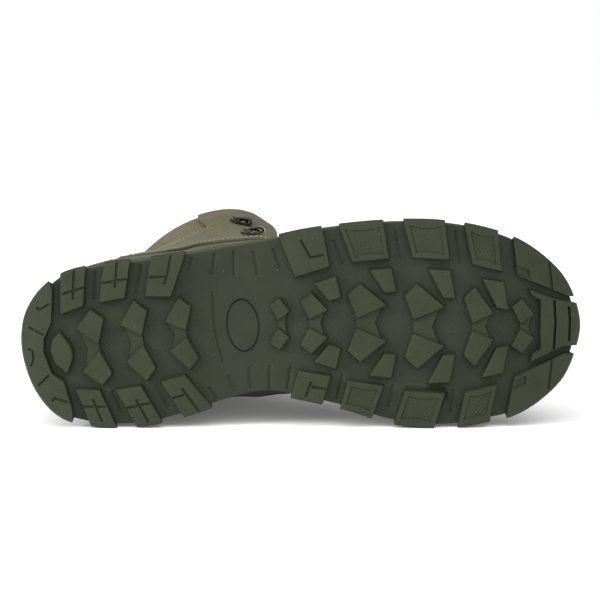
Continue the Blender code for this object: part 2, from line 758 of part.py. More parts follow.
def make_eyelet(name, rib, side, parts):
    offset = GAP + EYESTAY_THICK + EYELET_CLEAR + EYELET_WIRE
    place = surface_frame(side * rib, eyelet_place(rib, side, offset), offset)
    bpy.ops.mesh.primitive_torus_add(
        major_radius=EYELET_RING * MM,
        minor_radius=EYELET_WIRE * MM,
        major_segments=EYELET_SIDES,
        minor_segments=EYELET_WIRE_SIDES,
    )
    ring = bpy.context.object
    ring.name = name
    ring.data.transform(place)
    for collection in list(ring.users_collection):
        collection.objects.unlink(ring)
    parts.objects.link(ring)
    ring.data.shade_smooth()
    return ring


def lace_end(rib, side):
    """Lace over the middle of an eyelet: its place, and its way to the throat."""
    offset = GAP + EYESTAY_THICK + EYELET_CLEAR + 2 * EYELET_WIRE + LACE_CLEAR + LACE_RADIUS
    lift = eyelet_place(rib, side, offset)
    here = upper_face(side * rib, lift, offset)
    inwards = upper_face(side * rib, lift + STEP, offset) - here
    return here, inwards / np.linalg.norm(inwards)


def lace_bar(bm, start, end):
    """Round bar of lace that arches from one eyelet to another."""
    (first, first_way), (last, last_way) = start, end
    pull = LACE_PULL * np.linalg.norm(last - first)
    guides = (first, first + pull * first_way, last + pull * last_way, last)
    path = []
    for i in range(LACE_STEPS + 1):
        t = i / LACE_STEPS
        shares = ((1 - t) ** 3, 3 * t * (1 - t) ** 2, 3 * t * t * (1 - t), t**3)
        path.append(sum(share * guide for share, guide in zip(shares, guides)))
    rings = []
    for i, point in enumerate(path):
        ahead = path[min(i + 1, LACE_STEPS)] - path[max(i - 1, 0)]
        side = np.cross(ahead, (0.0, 0.0, 1.0))
        side /= np.linalg.norm(side)
        up = np.cross(side, ahead / np.linalg.norm(ahead))
        turns = [2 * pi * k / LACE_SIDES for k in range(LACE_SIDES)]
        rings.append([point + LACE_RADIUS * (cos(a) * side + sin(a) * up) for a in turns])
    loft(bm, rings)


def make_lace(parts, helpers):
    """Crossings of the lace, joined over the throat."""
    ends = {side: [lace_end(rib, side) for rib in EYELET_RIBS] for side in (1, -1)}
    rising = {1: bmesh.new(), -1: bmesh.new()}
    for side, bm in rising.items():
        for lower, upper in zip(ends[side][1:], ends[-side][:-1]):
            lace_bar(bm, lower, upper)
    toe_bar = bmesh.new()
    lace_bar(toe_bar, ends[1][-1], ends[-1][-1])
    lace = new_object("lace", rising[1], parts)
    join(lace, new_object("lace_return", rising[-1], helpers), "UNION")
    join(lace, new_object("lace_toe_bar", toe_bar, helpers), "UNION")
    return lace


def finish(obj, finish_name):
    material = bpy.data.materials.get(finish_name)
    if material is None:
        colour, roughness, metallic = finish_colours()[finish_name]
        material = bpy.data.materials.new(finish_name)
        material.use_nodes = True
        shader = material.node_tree.nodes["Principled BSDF"]
        shader.inputs["Base Color"].default_value = (*colour, 1.0)
        shader.inputs["Roughness"].default_value = roughness
        shader.inputs["Metallic"].default_value = metallic
    obj.data.materials.clear()
    obj.data.materials.append(material)


def evaluated_points(obj):
    """Corners of an object with its modifiers, in its own space."""
    bpy.context.view_layer.update()
    mesh = obj.evaluated_get(bpy.context.evaluated_depsgraph_get()).data
    return np.array([vertex.co for vertex in mesh.vertices])


def laid_down(tilt):
    """Turn about the length that lays the boot on its medial side."""
    return Matrix.Rotation(-(pi / 2 + tilt), 4, "X")


def resting_tilt(sole_points, upper_points):
    """Angle at which the sole's edge and the collar both reach the floor."""
    def lowest(points, tilt):
        return (points @ np.array(laid_down(tilt).to_3x3()).T)[:, 2].min()

    low, high = radians(-5.0), radians(15.0)
    for _ in range(50):
        middle = 0.5 * (low + high)
        if lowest(upper_points, middle) > lowest(sole_points, middle):
            low = middle
        else:
            high = middle
    return 0.5 * (low + high), lowest(sole_points, low)


def trim_at_floor(objects, turn, floor, helpers):
    """Flat spots where the sole's edge and the collar rest."""
    bm = bmesh.new()
    bmesh.ops.create_cube(bm, size=1.0)
    bmesh.ops.translate(bm, verts=bm.verts, vec=(0.0, 0.0, floor + FLOOR_TRIM * MM - 0.5))
    bmesh.ops.transform(bm, matrix=turn.inverted(), verts=bm.verts)
    block = new_object("floor_trim", bm, helpers)
    for obj in objects:
        join(obj, block, "DIFFERENCE")


def main():
    for obj in list(bpy.data.objects):
        bpy.data.objects.remove(obj, do_unlink=True)
    parts = bpy.data.collections.new("tactical_boot")
    helpers = bpy.data.collections.new("cutters")
    for collection in (parts, helpers):
        bpy.context.scene.collection.children.link(collection)

    outsole = make_outsole(parts, helpers)
    finish(outsole, "rubber")
    finish(sole_layer("midsole", MIDSOLE_RINGS, DECK, FEATHER, parts, GAP), "foam")
    finish(make_insole(parts), "foot_bed")
    upper = make_upper(parts)
    finish(upper, "suede")
    finish(make_tongue(parts), "padding")
    for side_name, side in (("lateral", 1), ("medial", -1)):
        finish(make_eyestay("eyestay_" + side_name, side, parts), "nubuck")
        for number, (rib, lift) in enumerate(HOOK_PLACES, 1):
            hook = make_hook(f"hook_{side_name}_{number}", rib, lift, side, parts)
            finish(hook, "gunmetal")
        for number, rib in enumerate(EYELET_RIBS, 1):
            finish(make_eyelet(f"eyelet_{side_name}_{number}", rib, side, parts), "gunmetal")

    finish(make_lace(parts, helpers), "cord")

    tilt, floor = resting_tilt(evaluated_points(outsole), evaluated_points(upper))
    turn = laid_down(tilt)
    trim_at_floor((outsole, upper), turn, floor, helpers)

    root = bpy.data.objects.new("lying_boot", None)
    parts.objects.link(root)
    solids = [obj for obj in parts.objects if obj.type == "MESH"]
    points = np.vstack([evaluated_points(obj) for obj in solids])
    laid = points @ np.array(turn.to_3x3()).T
    low, high = laid.min(axis=0), laid.max(axis=0)
    middle = (low + high) / 2
    root.matrix_world = Matrix.Translation((-middle[0], -middle[1], -low[2])) @ turn
    for obj in solids + list(helpers.objects):
        obj.parent = root


main()
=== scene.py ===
"""Looks of a right tactical boot that lies on its medial side, with its sole to the camera.

Shapes are worked out on the standing boot, in millimetres: along runs from heel to toe, out
is the distance to the lateral side of the forefoot's centre line, height is above the tread.
"""

from functools import lru_cache, partial
from math import atan2, ceil, cos, exp, hypot, pi, radians, sin, tan

import bmesh
import bpy
import numpy as np
from mathutils import Matrix, Vector


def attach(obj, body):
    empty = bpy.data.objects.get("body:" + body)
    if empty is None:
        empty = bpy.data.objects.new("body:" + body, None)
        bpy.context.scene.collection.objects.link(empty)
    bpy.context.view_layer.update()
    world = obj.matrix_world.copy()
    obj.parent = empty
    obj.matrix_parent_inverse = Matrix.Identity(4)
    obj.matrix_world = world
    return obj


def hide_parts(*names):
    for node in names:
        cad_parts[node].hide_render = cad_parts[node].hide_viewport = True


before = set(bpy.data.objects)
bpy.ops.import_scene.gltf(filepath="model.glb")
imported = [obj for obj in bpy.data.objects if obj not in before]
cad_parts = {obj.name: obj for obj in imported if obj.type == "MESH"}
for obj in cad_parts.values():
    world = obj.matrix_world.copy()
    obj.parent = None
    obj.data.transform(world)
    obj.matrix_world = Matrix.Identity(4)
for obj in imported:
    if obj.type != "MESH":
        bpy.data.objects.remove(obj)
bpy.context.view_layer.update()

MM = 0.001
GAP = 0.3
WELD = 2e-6
# Step in section number, rib or level over which a direction is taken.
STEP = 0.02
HALVINGS = 40

# Place of the lying boot: its turn past a right angle, and the standing boot's origin.
LYING_TILT = -0.000197
LYING_PLACE = Vector((-0.15019, -0.1236, 0.05639))
LYING_TURN = Matrix.Rotation(-(pi / 2 + LYING_TILT), 3, "X")

# The photograph's pixels on the tread: millimetres a pixel, the heel's back and the centre line.
PHOTO_SCALE = 0.54
PHOTO_HEEL_X = 23.8
PHOTO_CENTRE_Y = 325.5

# Outline of the sole, a row for each section.
# columns: along, lateral edge, medial edge
SOLE_SECTIONS = (
    (0.0, -7.6, -7.6),
    (2.0, 5.0, -22.0),
    (8.0, 15.5, -36.0),
    (20.0, 25.8, -48.6),
    (40.0, 31.5, -53.8),
    (65.0, 34.8, -53.4),
    (90.0, 38.5, -47.2),
    (112.0, 42.2, -40.2),
    (131.0, 45.4, -36.5),
    (150.0, 49.8, -39.3),
    (175.0, 53.5, -44.8),
    (200.0, 55.4, -52.2),
    (225.0, 55.0, -54.6),
    (250.0, 50.6, -51.6),
    (265.0, 45.4, -48.4),
    (280.0, 35.8, -40.0),
    (292.0, 23.5, -28.4),
    (298.3, 10.0, -13.5),
    (300.4, -2.0, -2.0),
)
LAST_ROW = len(SOLE_SECTIONS) - 1

# Side profile of the sole: heel bevel, flat heel, arch, flat ball and toe spring.
# columns: along, lug tip, floor between lugs, top of outsole, top of midsole (feather line)
SOLE_PROFILE = (
    (0.0, 3.0, 7.0, 16.0, 37.0),
    (14.0, 0.0, 5.2, 14.0, 35.5),
    (84.0, 0.0, 5.2, 13.0, 31.5),
    (112.0, 4.5, 8.0, 14.0, 29.0),
    (138.0, 2.4, 6.8, 12.6, 26.0),
    (165.0, 0.0, 4.8, 10.5, 23.0),
    (226.0, 0.0, 4.8, 10.5, 21.5),
    (262.0, 4.0, 8.6, 14.4, 24.5),
    (300.4, 14.0, 18.4, 23.6, 32.0),
)
TIP, FLOOR, DECK, FEATHER = 1, 2, 3, 4

HEEL_SWING_FROM = 118.0
HEEL_SWING_SLOPE = 0.155

# Rings up the side of outsole and midsole.
# columns: share of the height, inset from the outline
OUTSOLE_RINGS = ((0.0, 0.6), (0.04, 0.2), (0.15, 0.0), (0.9, 0.5), (1.0, 0.9))
MIDSOLE_RINGS = (
    (0.0, 1.4), (0.06, 0.7), (0.2, 0.2), (0.44, 0.2), (0.49, 0.5), (0.52, 1.1), (0.55, 0.5), (0.60, 0.0),
    (0.9, 0.4), (0.97, 0.7), (1.0, 1.2),
)
# Steps of a layer's mesh from section to section, and across the sole.
SOLE_STEPS = 8
SOLE_ACROSS = 20

# Hatching on the tread's floor: its slope along and out (heel, forefoot), pitch, half width and lengths.
HATCH_ALONG = 0.8
HATCH_SLANT = (0.5, -0.64)
HATCH_PITCH = 1.15
HATCH_HALF = 11.0
HATCH_LENGTHS = ((35.0, 90.0), (150.0, 275.0))

LUG_DRAFT = 0.9
LUG_ROOT = 1.6
LUG_ROUND = 0.75
LUG_ROUND_STEPS = 3
LUG_CUTS_ALONG = 6.0
SHARP_ANGLE = radians(25.0)
SHADE_SHARP = radians(38.0)
SIDE_PROUD = 2.3
SIDE_CHAMFER = 1.3
SIDE_SHOULDER = 2.2
SIDE_RISE = 5.5
SIDE_SINK = 1.0
SIDE_STEPS = 8

# Side lugs; the outer edge follows the sole's outline.
# columns: side (1 lateral, -1 medial), outer start, outer end, inner start, inner end (along),
#          inner start out, inner end out, knurled (1) or plain (0)
SIDE_LUGS = (
    (1, 20.6, 33.8, 19.8, 32.0, 5.9, 10.5, 0),
    (1, 43.6, 57.7, 40.9, 54.4, 12.5, 14.9, 0),
    (1, 68.9, 87.5, 65.6, 79.4, 15.7, 15.7, 0),
    (-1, 36.0, 49.6, 27.7, 40.5, -35.1, -35.5, 0),
    (-1, 60.4, 74.3, 49.4, 63.1, -35.6, -33.3, 0),
    (-1, 85.5, 100.9, 74.0, 86.8, -31.1, -27.3, 0),
    (1, 138.1, 161.0, 146.4, 165.1, 26.2, 32.1, 0),
    (1, 170.2, 194.1, 177.6, 197.3, 34.1, 36.3, 1),
    (1, 204.8, 227.1, 210.1, 229.9, 36.8, 35.5, 1),
    (1, 237.7, 255.6, 242.6, 258.2, 33.2, 29.2, 1),
    (1, 264.1, 297.0, 267.4, 294.6, 26.6, 15.2, 0),
    (-1, 144.3, 161.7, 148.6, 165.8, -25.1, -28.0, 0),
    (-1, 171.4, 188.8, 175.3, 194.3, -30.3, -33.4, 1),
    (-1, 200.7, 222.0, 206.3, 227.7, -35.9, -37.3, 1),
    (-1, 234.7, 252.1, 239.1, 256.2, -36.8, -33.2, 1),
    (-1, 261.3, 297.4, 266.0, 294.0, -29.2, -17.0, 0),
)
KNURLED_LUGS = tuple(row for row in SIDE_LUGS if row[-1])

# Kite lugs in mirrored pairs; a negative reach points to the heel.
# columns: along, centre out, half gap at the root, reach, tip out, spread
KITES = (
    (40.4, 0.0, 2.1, -10.7, 12.0, 20.8),
    (64.0, 0.0, 2.9, -10.5, 10.3, 21.9),
    (87.7, 0.0, 2.2, -10.2, 8.2, 19.7),
    (137.5, 0.3, 2.2, 5.8, 7.1, 13.9),
    (154.3, 0.8, 2.4, 9.6, 7.5, 16.4),
    (179.9, 1.2, 2.8, 15.9, 9.8, 21.1),
    (210.6, -0.8, 3.7, 16.8, 10.6, 23.2),
    (242.7, -1.1, 2.0, 11.5, 7.2, 21.6),
    (269.1, -1.3, 1.6, 7.5, 6.5, 14.8),
)
KITE_BACK = 4.7
KITE_BACK_SHARE = 0.72
KITE_LEAN = 0.12
WEB_DEPTH = 2.2
WEB_NOTCH = 0.62
WEB_REACH = 0.86

# Trapezoid lugs in mirrored pairs, between the kites and the side lugs.
# columns: along, centre out, inner out, outer out, turn in degrees
TRAPEZOIDS = (
    (168.2, 1.2, 13.0, 23.3, 18.0),
    (198.2, 1.0, 16.9, 29.3, 5.0),
    (230.0, -0.8, 15.5, 30.7, -3.0),
    (259.2, -1.9, 10.4, 25.8, -11.0),
)
TRAPEZOID_INNER = 6.4
TRAPEZOID_OUTER = 11.8
TRAPEZOID_SHIFT = -5.4

# Inner edge of the heel crescent, and the lens lug in front of it.
# columns: along, out
HEEL_CRESCENT_INNER = (
    (15.2, 19.6), (14.5, 1.5), (10.3, -7.6), (10.1, -14.5), (14.5, -26.4), (21.1, -31.0), (25.6, -46.5),
)
HEEL_CRESCENT_ENDS = (14.6, 26.0)
HEEL_LENS = (
    (19.0, -3.6), (25.0, -11.6), (26.2, -17.4), (23.2, -26.4), (16.6, -20.8), (14.2, -14.4), (15.2, -8.6),
)
# Toe bar with its two ears; its front edge follows the outline.
# columns: along, out
TOE_BAR_BACK = (
    (292.0, 12.2), (286.4, 13.8), (274.0, 18.6), (275.4, 15.6), (280.4, 13.0),
    (280.4, -14.2), (275.8, -16.6), (275.2, -20.4), (288.0, -14.6), (293.0, -12.6),
)
TOE_BAR_ENDS = (298.3, 298.7)

# Thin oval groove in the waist.
OVAL_ALONG = 118.1
OVAL_OUT = -0.8
OVAL_LONG = 14.2
OVAL_SHORT = 8.6
OVAL_TURN = radians(5.4)
OVAL_GROOVE = 1.1
OVAL_DEPTH = 1.3
OVAL_SIDES = 64

# Thin grooves that are cut into the lugs' faces: runs of points in the photograph, x and y.
# Runs that cross stand side by side in the list.
LUG_SIPES = (
    ((74.2, 270.0), (72.9, 299.5)), ((62.1, 294.4), (83.8, 287.4)),
    ((117.6, 257.0), (115.0, 287.4)), ((102.9, 282.9), (126.5, 279.1)),
    ((171.1, 254.5), (167.3, 275.9), (163.6, 284.2)), ((149.5, 277.4), (165.4, 276.6)),
    ((82.5, 407.6), (104.8, 407.9)), ((92.1, 399.6), (101.0, 423.0)),
    ((125.9, 409.2), (149.5, 404.1)), ((135.4, 400.3), (147.6, 423.5)),
    ((181.4, 388.8), (198.6, 413.0)), ((171.8, 399.0), (183.9, 395.8)),
    ((27.7, 327.6), (43.0, 335.2)), ((48.1, 376.0), (37.2, 386.9)),
    ((36.0, 307.2), (39.1, 310.1), (49.3, 304.0)), ((51.3, 402.2), (53.4, 399.0), (67.2, 403.5)),
    ((300.6, 239.6), (310.8, 258.1)), ((310.8, 257.4), (323.6, 254.9)),
    ((311.5, 382.4), (305.7, 398.4)), ((311.5, 387.5), (326.1, 390.1)),
    ((550.4, 262.0), (554.5, 291.4)), ((554.5, 363.0), (551.7, 392.0)),
    ((27.0, 350.0), (32.1, 351.8), (32.5, 361.4), (29.6, 367.1)),
)
SIPE_MOUTH = 1.4
SIPE_BED = 0.4
SIPE_DEPTH = 1.1
# Two grooves that split the toe bar.
TOE_BAR_SPLITS = (
    ((556.6, 302.0), (558.0, 325.0), (556.6, 352.0)),
    ((572.0, 309.0), (573.1, 325.0), (572.5, 344.0)),
)
TOE_SPLIT_MOUTH = 1.5
TOE_SPLIT_BED = 0.8
TOE_SPLIT_DEPTH = 2.8
# Slits in the floor between the side lugs and along the edges of the waist.
FLOOR_SLITS = (
    ((94.2, 272.0), (93.0, 299.7)), ((140.6, 265.0), (135.7, 293.0)), ((190.8, 258.0), (187.9, 270.7)),
    ((110.3, 392.8), (120.2, 415.0)), ((153.9, 386.4), (167.2, 410.4)), ((207.4, 389.7), (214.8, 401.5)),
    ((214.5, 254.5), (212.2, 275.0)), ((233.7, 252.0), (234.0, 276.0)), ((253.6, 252.0), (257.4, 275.0)),
    ((273.5, 249.4), (280.4, 268.3)), ((226.8, 378.0), (233.7, 393.4)), ((249.0, 369.0), (250.5, 390.4)),
    ((269.6, 368.0), (269.6, 392.7)), ((291.0, 369.7), (288.0, 390.4)),
    ((333.6, 240.6), (342.8, 264.3)), ((395.3, 230.3), (399.9, 257.8)), ((455.8, 231.0), (460.4, 264.0)),
    ((343.5, 375.8), (337.4, 400.3)), ((394.0, 386.5), (388.7, 409.5)), ((455.7, 391.3), (451.7, 413.6)),
)
SLIT_MOUTH = 2.4
SLIT_BED = 0.3
SLIT_DEPTH = 0.75
# Curved parting line across the waist.
WAIST_LINE = ((211.5, 292.0), (212.2, 312.0), (213.8, 329.5), (217.2, 347.0), (222.0, 364.0))
WAIST_LINE_MOUTH = 0.9
WAIST_LINE_BED = 0.3
WAIST_LINE_DEPTH = 0.4
# Small steps in the two long toe lugs: corners in the photograph.
TOE_NOTCHES = (
    ((514.0, 264.0), (530.5, 271.2), (531.7, 279.6), (515.5, 273.5)),
    ((512.0, 392.5), (514.5, 383.3), (527.8, 377.8), (528.2, 385.7)),
)
NOTCH_DEPTH = 1.2

# Sunk panels of the knurled lugs: their border, the bow of the long edges, and the diamonds in them.
KNURL_BORDER = 2.7
KNURL_BOW = 0.16
KNURL_SINK = 0.7
KNURL_PITCH = 2.1
KNURL_HEIGHT = 0.42
KNURL_SLOPE = 0.8
KNURL_FADE = 12.0
KNURL_LAP = 0.05
KNURL_EDGE_STEPS = 12
KNURL_COLUMNS = 56
KNURL_ROWS = 56

# Ribs of the upper from the back of the heel round one side to the toe.
# Each is a Bezier curve from the feather line over two guides to the top edge.
# columns: foot along, low forward, low swell, low height,
#          high along, high out, high height, edge along, edge out, edge height
UPPER_RIBS = (
    (0.0, -9.0, 0.0, 80.0, 36.0, 0.0, 135.0, 30.0, 0.0, 213.0),
    (10.0, -7.0, 4.0, 82.0, 40.0, 14.0, 138.0, 35.5, 17.0, 213.5),
    (32.0, -4.0, 6.0, 86.0, 54.0, 25.0, 142.0, 52.0, 34.6, 215.0),
    (64.0, -3.0, 4.0, 88.0, 78.0, 29.0, 146.0, 79.0, 48.6, 217.5),
    (95.0, -3.0, 1.0, 90.0, 101.0, 28.0, 150.0, 112.0, 49.4, 220.0),
    (120.0, -3.0, -1.0, 90.0, 116.0, 31.0, 152.0, 128.5, 41.5, 222.0),
    (142.0, -3.0, 0.0, 82.0, 123.0, 35.0, 132.0, 134.0, 25.0, 166.0),
    (162.0, -2.0, 2.5, 70.0, 142.0, 40.0, 110.0, 154.0, 23.0, 127.0),
    (186.0, -1.0, 4.0, 60.0, 170.0, 41.0, 96.0, 178.0, 19.0, 102.0),
    (222.0, 0.0, 4.5, 52.0, 204.0, 33.0, 84.0, 201.0, 13.5, 89.5),
    (268.0, 2.0, 4.0, 58.0, 238.0, 16.0, 74.0, 208.5, 7.0, 86.0),
    (300.4, 2.0, 0.0, 60.0, 252.0, 0.0, 72.0, 210.0, 0.0, 85.0),
)
# Fuller medial side over the arch: how much further out a rib's low and high guides are there.
MEDIAL_FULLNESS = {3: (3.0, 3.0), 4: (20.0, 7.0), 5: (35.0, 7.0), 6: (29.0, 5.0), 7: (11.0, 0.0)}
HALF_RIBS = len(UPPER_RIBS) - 1
RIBS_ROUND = 2 * HALF_RIBS
COLLAR_CORNER_RIB = 5
THROAT_CORNER_RIB = 9
UPPER_COLUMNS = 12 * RIBS_ROUND
UPPER_ROWS = 110
UPPER_RIM_ROWS = 6
UPPER_ROWS_ROUND = 2 * UPPER_ROWS + UPPER_RIM_ROWS + 1
FEATHER_INSET = 4.0
UPPER_WALL = 2.4
# Rounded top edge: the level from which its way up is taken, and its rise for each radius.
RIM_FROM = 0.97
RIM_RISE = 0.8
# Counter of the heel: a leather layer below the textile.
COUNTER_LEVEL = 0.34
COUNTER_STEP = 0.9
COUNTER_RAMP = 0.008
TEXTILE_TO_RIB = 3.6

# Creases of the leather and the textile.
# columns: width, depth (negative for a ridge), then its run of rib and level
CREASES = (
    (3.6, 1.7, ((3.95, 0.52), (4.25, 0.46), (4.65, 0.37), (5.1, 0.44))),
    (6.0, -0.8, ((4.1, 0.56), (4.6, 0.50), (5.0, 0.54))),
    (7.0, 0.5, ((2.6, 0.56), (3.3, 0.51), (3.8, 0.50))),
    (7.0, 0.9, ((0.0, 0.60), (1.2, 0.58), (2.2, 0.60))),
    (5.0, 0.6, ((3.5, 0.80), (4.1, 0.755))),
    (4.5, -0.5, ((3.5, 0.90), (4.0, 0.83), (4.3, 0.81))),
    (6.0, 1.3, ((8.8, 0.45), (9.5, 0.68), (10.2, 0.80), (11.0, 0.84))),
    (6.0, 0.9, ((9.3, 0.36), (9.9, 0.55), (10.6, 0.66), (11.0, 0.69))),
)
RIB_RUN = 28.0
LEVEL_RUN = 170.0

# Leather overlay along the throat, whose wing sweeps back and down to the heel.
# columns: rib, lowest level, highest level
EYESTAY_EDGE = (
    (7.0 / 3.0, 0.28, 0.44),
    (8.0 / 3.0, 0.31, 0.62),
    (3.0, 0.38, 0.77),
    (3.30, 0.49, 0.835),
    (3.46, 0.54, 0.858),
    (3.52, 0.555, 0.985),
    (11.0 / 3.0, 0.585, 0.985),
    (13.0 / 3.0, 0.61, 0.985),
    (4.85, 0.62, 0.985),
    (5.3, 0.63, 0.965),
    (6.0, 0.66, 0.955),
    (9.0, 0.66, 0.965),
)
EYESTAY_THICK = 1.5
EYESTAY_COLUMNS = 200
EYESTAY_ROWS = 44
EYESTAY_ROUND = 1.2
EYESTAY_FALL = 0.55
# Collar tab of the overlay: its extra thickness, the level where it starts and the ribs where it fades,
# then how far its edge leans back, between which levels, and the ribs where the lean grows and fades.
TAB_STEP = 1.6
TAB_FROM_LEVEL = 0.905
TAB_RAMP = 0.01
TAB_FADE_RIBS = (4.3, 5.0)
TAB_LEAN = 0.32
TAB_LEAN_LEVELS = (0.85, 0.985)
TAB_LEAN_GROWS = (3.2, 3.46)
TAB_LEAN_FADES = (3.55, 4.2)

TONGUE_THICK = 4.0
TONGUE_CLEAR = 2.2
TONGUE_TUCK_LEVELS = (0.80, 0.85, 0.90, 0.95, 1.0)
TONGUE_BRIDGE = 14
TONGUE_BRIDGE_PULL = 0.30
TONGUE_RISE = 9.0
TONGUE_TOE_REACH = 10.0
TONGUE_ROWS = 72
TONGUE_QUILT = 1.0
TONGUE_CHANNELS = 7
# Rows added at the toe end and at the top, as shares of the reach there.
TONGUE_TOE_SHARES = (1.0, 0.66, 0.33)
TONGUE_TOP_SHARES = (0.25, 0.5, 0.75, 0.9, 1.0)
# Thinner borders: columns at the sides, rows at the ends, and how much thinner the ends get.
TONGUE_SIDE_COLUMNS = 2.0
TONGUE_END_ROWS = 4.0
TONGUE_END_THIN = 0.8
# Width and length of the tongue's cloth.
TONGUE_CLOTH = (160.0, 210.0)

INSOLE_THICK = 4.0
INSOLE_INSET = FEATHER_INSET + UPPER_WALL + 1.8
INSOLE_RINGS = ((0.0, 0.6), (0.2, 0.0), (0.8, 0.0), (0.95, 0.3), (1.0, 0.9))
INSOLE_STEPS = 4
INSOLE_ACROSS = 10

# Speed hooks on the shaft: rib and level of each pair.
HOOK_PLACES = ((5.0, 0.69), (4.25, 0.87))
HOOK_WIDTH = 7.0
HOOK_METAL = 1.3
HOOK_CLEAR = 0.7
# Bent strip of a hook, from the back of its base over the bend to the lip.
# columns: forward along the shaft's side, away from the leather, share of the full width
HOOK_BEND = (
    (-7.4, 0.8, 0.12), (-6.0, 0.8, 0.5), (-3.0, 0.8, 1.0), (1.5, 0.8, 1.0), (4.2, 0.9, 0.95),
    (6.0, 1.3, 0.9), (6.7, 2.3, 0.88), (6.0, 3.4, 0.86), (4.2, 3.9, 0.84), (1.5, 3.6, 0.80),
    (-1.5, 3.1, 0.72), (-4.2, 2.6, 0.5), (-5.6, 2.7, 0.14),
)
HOOK_STEPS = 4
HOOK_ACROSS = 8
HOOK_BASE = 0.8
HOOK_EDGE = 0.35
HOOK_EDGE_STEPS = 3
HOOK_EDGE_ANGLE = radians(50.0)
RIVET_RADIUS = 3.1
RIVET_HEIGHT = 1.5
RIVET_AHEAD = 1.6
RIVET_SIDES = (24, 12)

# Eyelet rings along the lower throat.
EYELET_RIBS = (6.15, 6.8, 7.45, 8.1, 8.7)
EYELET_BACK = 11.0
EYELET_RING = 4.2
EYELET_WIRE = 1.1
EYELET_CLEAR = 1.1
EYELET_BARREL = 1.6
EYELET_STEP = 0.01
EYELET_SIDES = 40
EYELET_WIRE_SIDES = 12

LACE_RADIUS = 2.0
LACE_CLEAR = 2.8
LACE_PULL = 0.22
LACE_STEPS = 40
LACE_SIDES = 16
LACE_FLAT = 0.72
LACE_DIVE = 5.5
LACE_NECK = 0.45
LACE_SPOTS = 8
LACE_STEP = 0.03
LACE_LEAN = (0.35, 0.0, 1.0)
LACE_YARNS = 4.0
LACE_TURNS = 36.0

# Rows of stitches on the overlay, as runs of rib and level.
STITCH_ROWS = (
    ((2.44, 0.45), (2.72, 0.605), (3.04, 0.748), (3.34, 0.812), (3.54, 0.848)),
    ((2.51, 0.435), (2.79, 0.59), (3.11, 0.730), (3.41, 0.794), (3.62, 0.830)),
    ((3.28, 0.970), (4.0, 0.970), (4.84, 0.970)),
)
# Rows that follow an edge of the overlay.
# columns: edge column, shift of the level, first rib, last rib
STITCH_EDGES = ((1, 0.015, 2.5, 8.85), (2, -0.018, 5.0, 8.85))
STITCH_EDGE_STEP = 0.15
# Row along the top of the counter: its distance below, first rib, step and number of points.
COUNTER_STITCH = 0.014
COUNTER_FIRST = 0.08
COUNTER_PITCH = 0.1
COUNTER_POINTS = 22
STITCH_LONG = 2.3
STITCH_PITCH = 2.9
STITCH_WIDE = 0.7
STITCH_HIGH = 1.25
STITCH_WALK = 24
STITCH_SIDES = (6, 4)

# Camera: where it looks, how far off it stands, its height angle and the width that it frames.
CAMERA_TARGET = Vector((-0.0010, -0.1237, 0.0702))
CAMERA_DISTANCE = 1.25
CAMERA_ELEVATION = radians(5.6)
FRAME_WIDTH = 600.0 * PHOTO_SCALE * MM
SENSOR_WIDTH = 36.0

CLOUD_RANGE = (0.3, 0.7)

ROOM_LIGHT = 0.6
ABOVE_ENERGY = 2.9
ABOVE_ANGLE = radians(75.0)
ABOVE_LEAN = radians(45.0)
FLOOR_GLOW = 0.10
FLOOR_WHITE = (0.93, 0.93, 0.93, 1.0)
FLOOR_HALF = 8.0
KEY_PLACE = (-1.3, -0.8, 0.6)
KEY_TARGET = (0.0, -0.10, 0.06)
KEY_SIZE = 0.6
KEY_ENERGY = 18.0


def to_world(along, out, height):
    """Standing boot in millimetres to the lying boot in metres."""
    return LYING_TURN @ (Vector((along, -out, height)) * MM) + LYING_PLACE


def from_world(place):
    """Lying boot in metres to along, out and height in millimetres."""
    stood = LYING_TURN.transposed() @ (place - LYING_PLACE) / MM
    return stood.x, -stood.y, stood.z


def from_photo(x, y):
    """Pixel of the photograph to along and out on the tread."""
    return (x - PHOTO_HEEL_X) * PHOTO_SCALE, (PHOTO_CENTRE_Y - y) * PHOTO_SCALE


class Loop:
    """Smooth closed curve through a ring of points, by chord-length Hermite pieces."""

    def __init__(self, points, measure=slice(None)):
        self.points = np.array(points, dtype=float)
        ahead = np.roll(self.points, -1, axis=0) - self.points
        self.chord = np.linalg.norm(ahead[:, measure], axis=1)
        before = np.roll(self.chord, 1)
        slope = ahead / self.chord[:, None]
        slope_before = np.roll(slope, 1, axis=0)
        weight = (self.chord / (self.chord + before))[:, None]
        self.tangent = slope_before * weight + slope * (1.0 - weight)

    def at(self, t):
        count = len(self.points)
        start = int(np.floor(t)) % count
        end = (start + 1) % count
        f = t - np.floor(t)
        chord = self.chord[start]
        return (
            self.points[start] * (1.0 - f) ** 2 * (1.0 + 2.0 * f)
            + self.points[end] * f * f * (3.0 - 2.0 * f)
            + self.tangent[start] * chord * f * (1.0 - f) ** 2
            - self.tangent[end] * chord * f * f * (1.0 - f)
        )


def monotone(table, column, x):
    """Monotone cubic through one column of a table, so that level stretches stay level."""
    last = len(table) - 1
    x = min(max(x, table[0][0]), table[last][0])
    i = 0
    while i < last - 1 and table[i + 1][0] <= x:
        i += 1

    def slope(k):
        return (table[k + 1][column] - table[k][column]) / (table[k + 1][0] - table[k][0])

    def tangent(k):
        if k == 0 or k == last:
            return slope(min(k, last - 1))
        left, right = slope(k - 1), slope(k)
        return 0.0 if left * right <= 0.0 else 2.0 * left * right / (left + right)

    span = table[i + 1][0] - table[i][0]
    f = (x - table[i][0]) / span
    return (
        table[i][column] * (1.0 - f) ** 2 * (1.0 + 2.0 * f)
        + table[i + 1][column] * f * f * (3.0 - 2.0 * f)
        + tangent(i) * span * f * (1.0 - f) ** 2
        - tangent(i + 1) * span * f * f * (1.0 - f)
    )


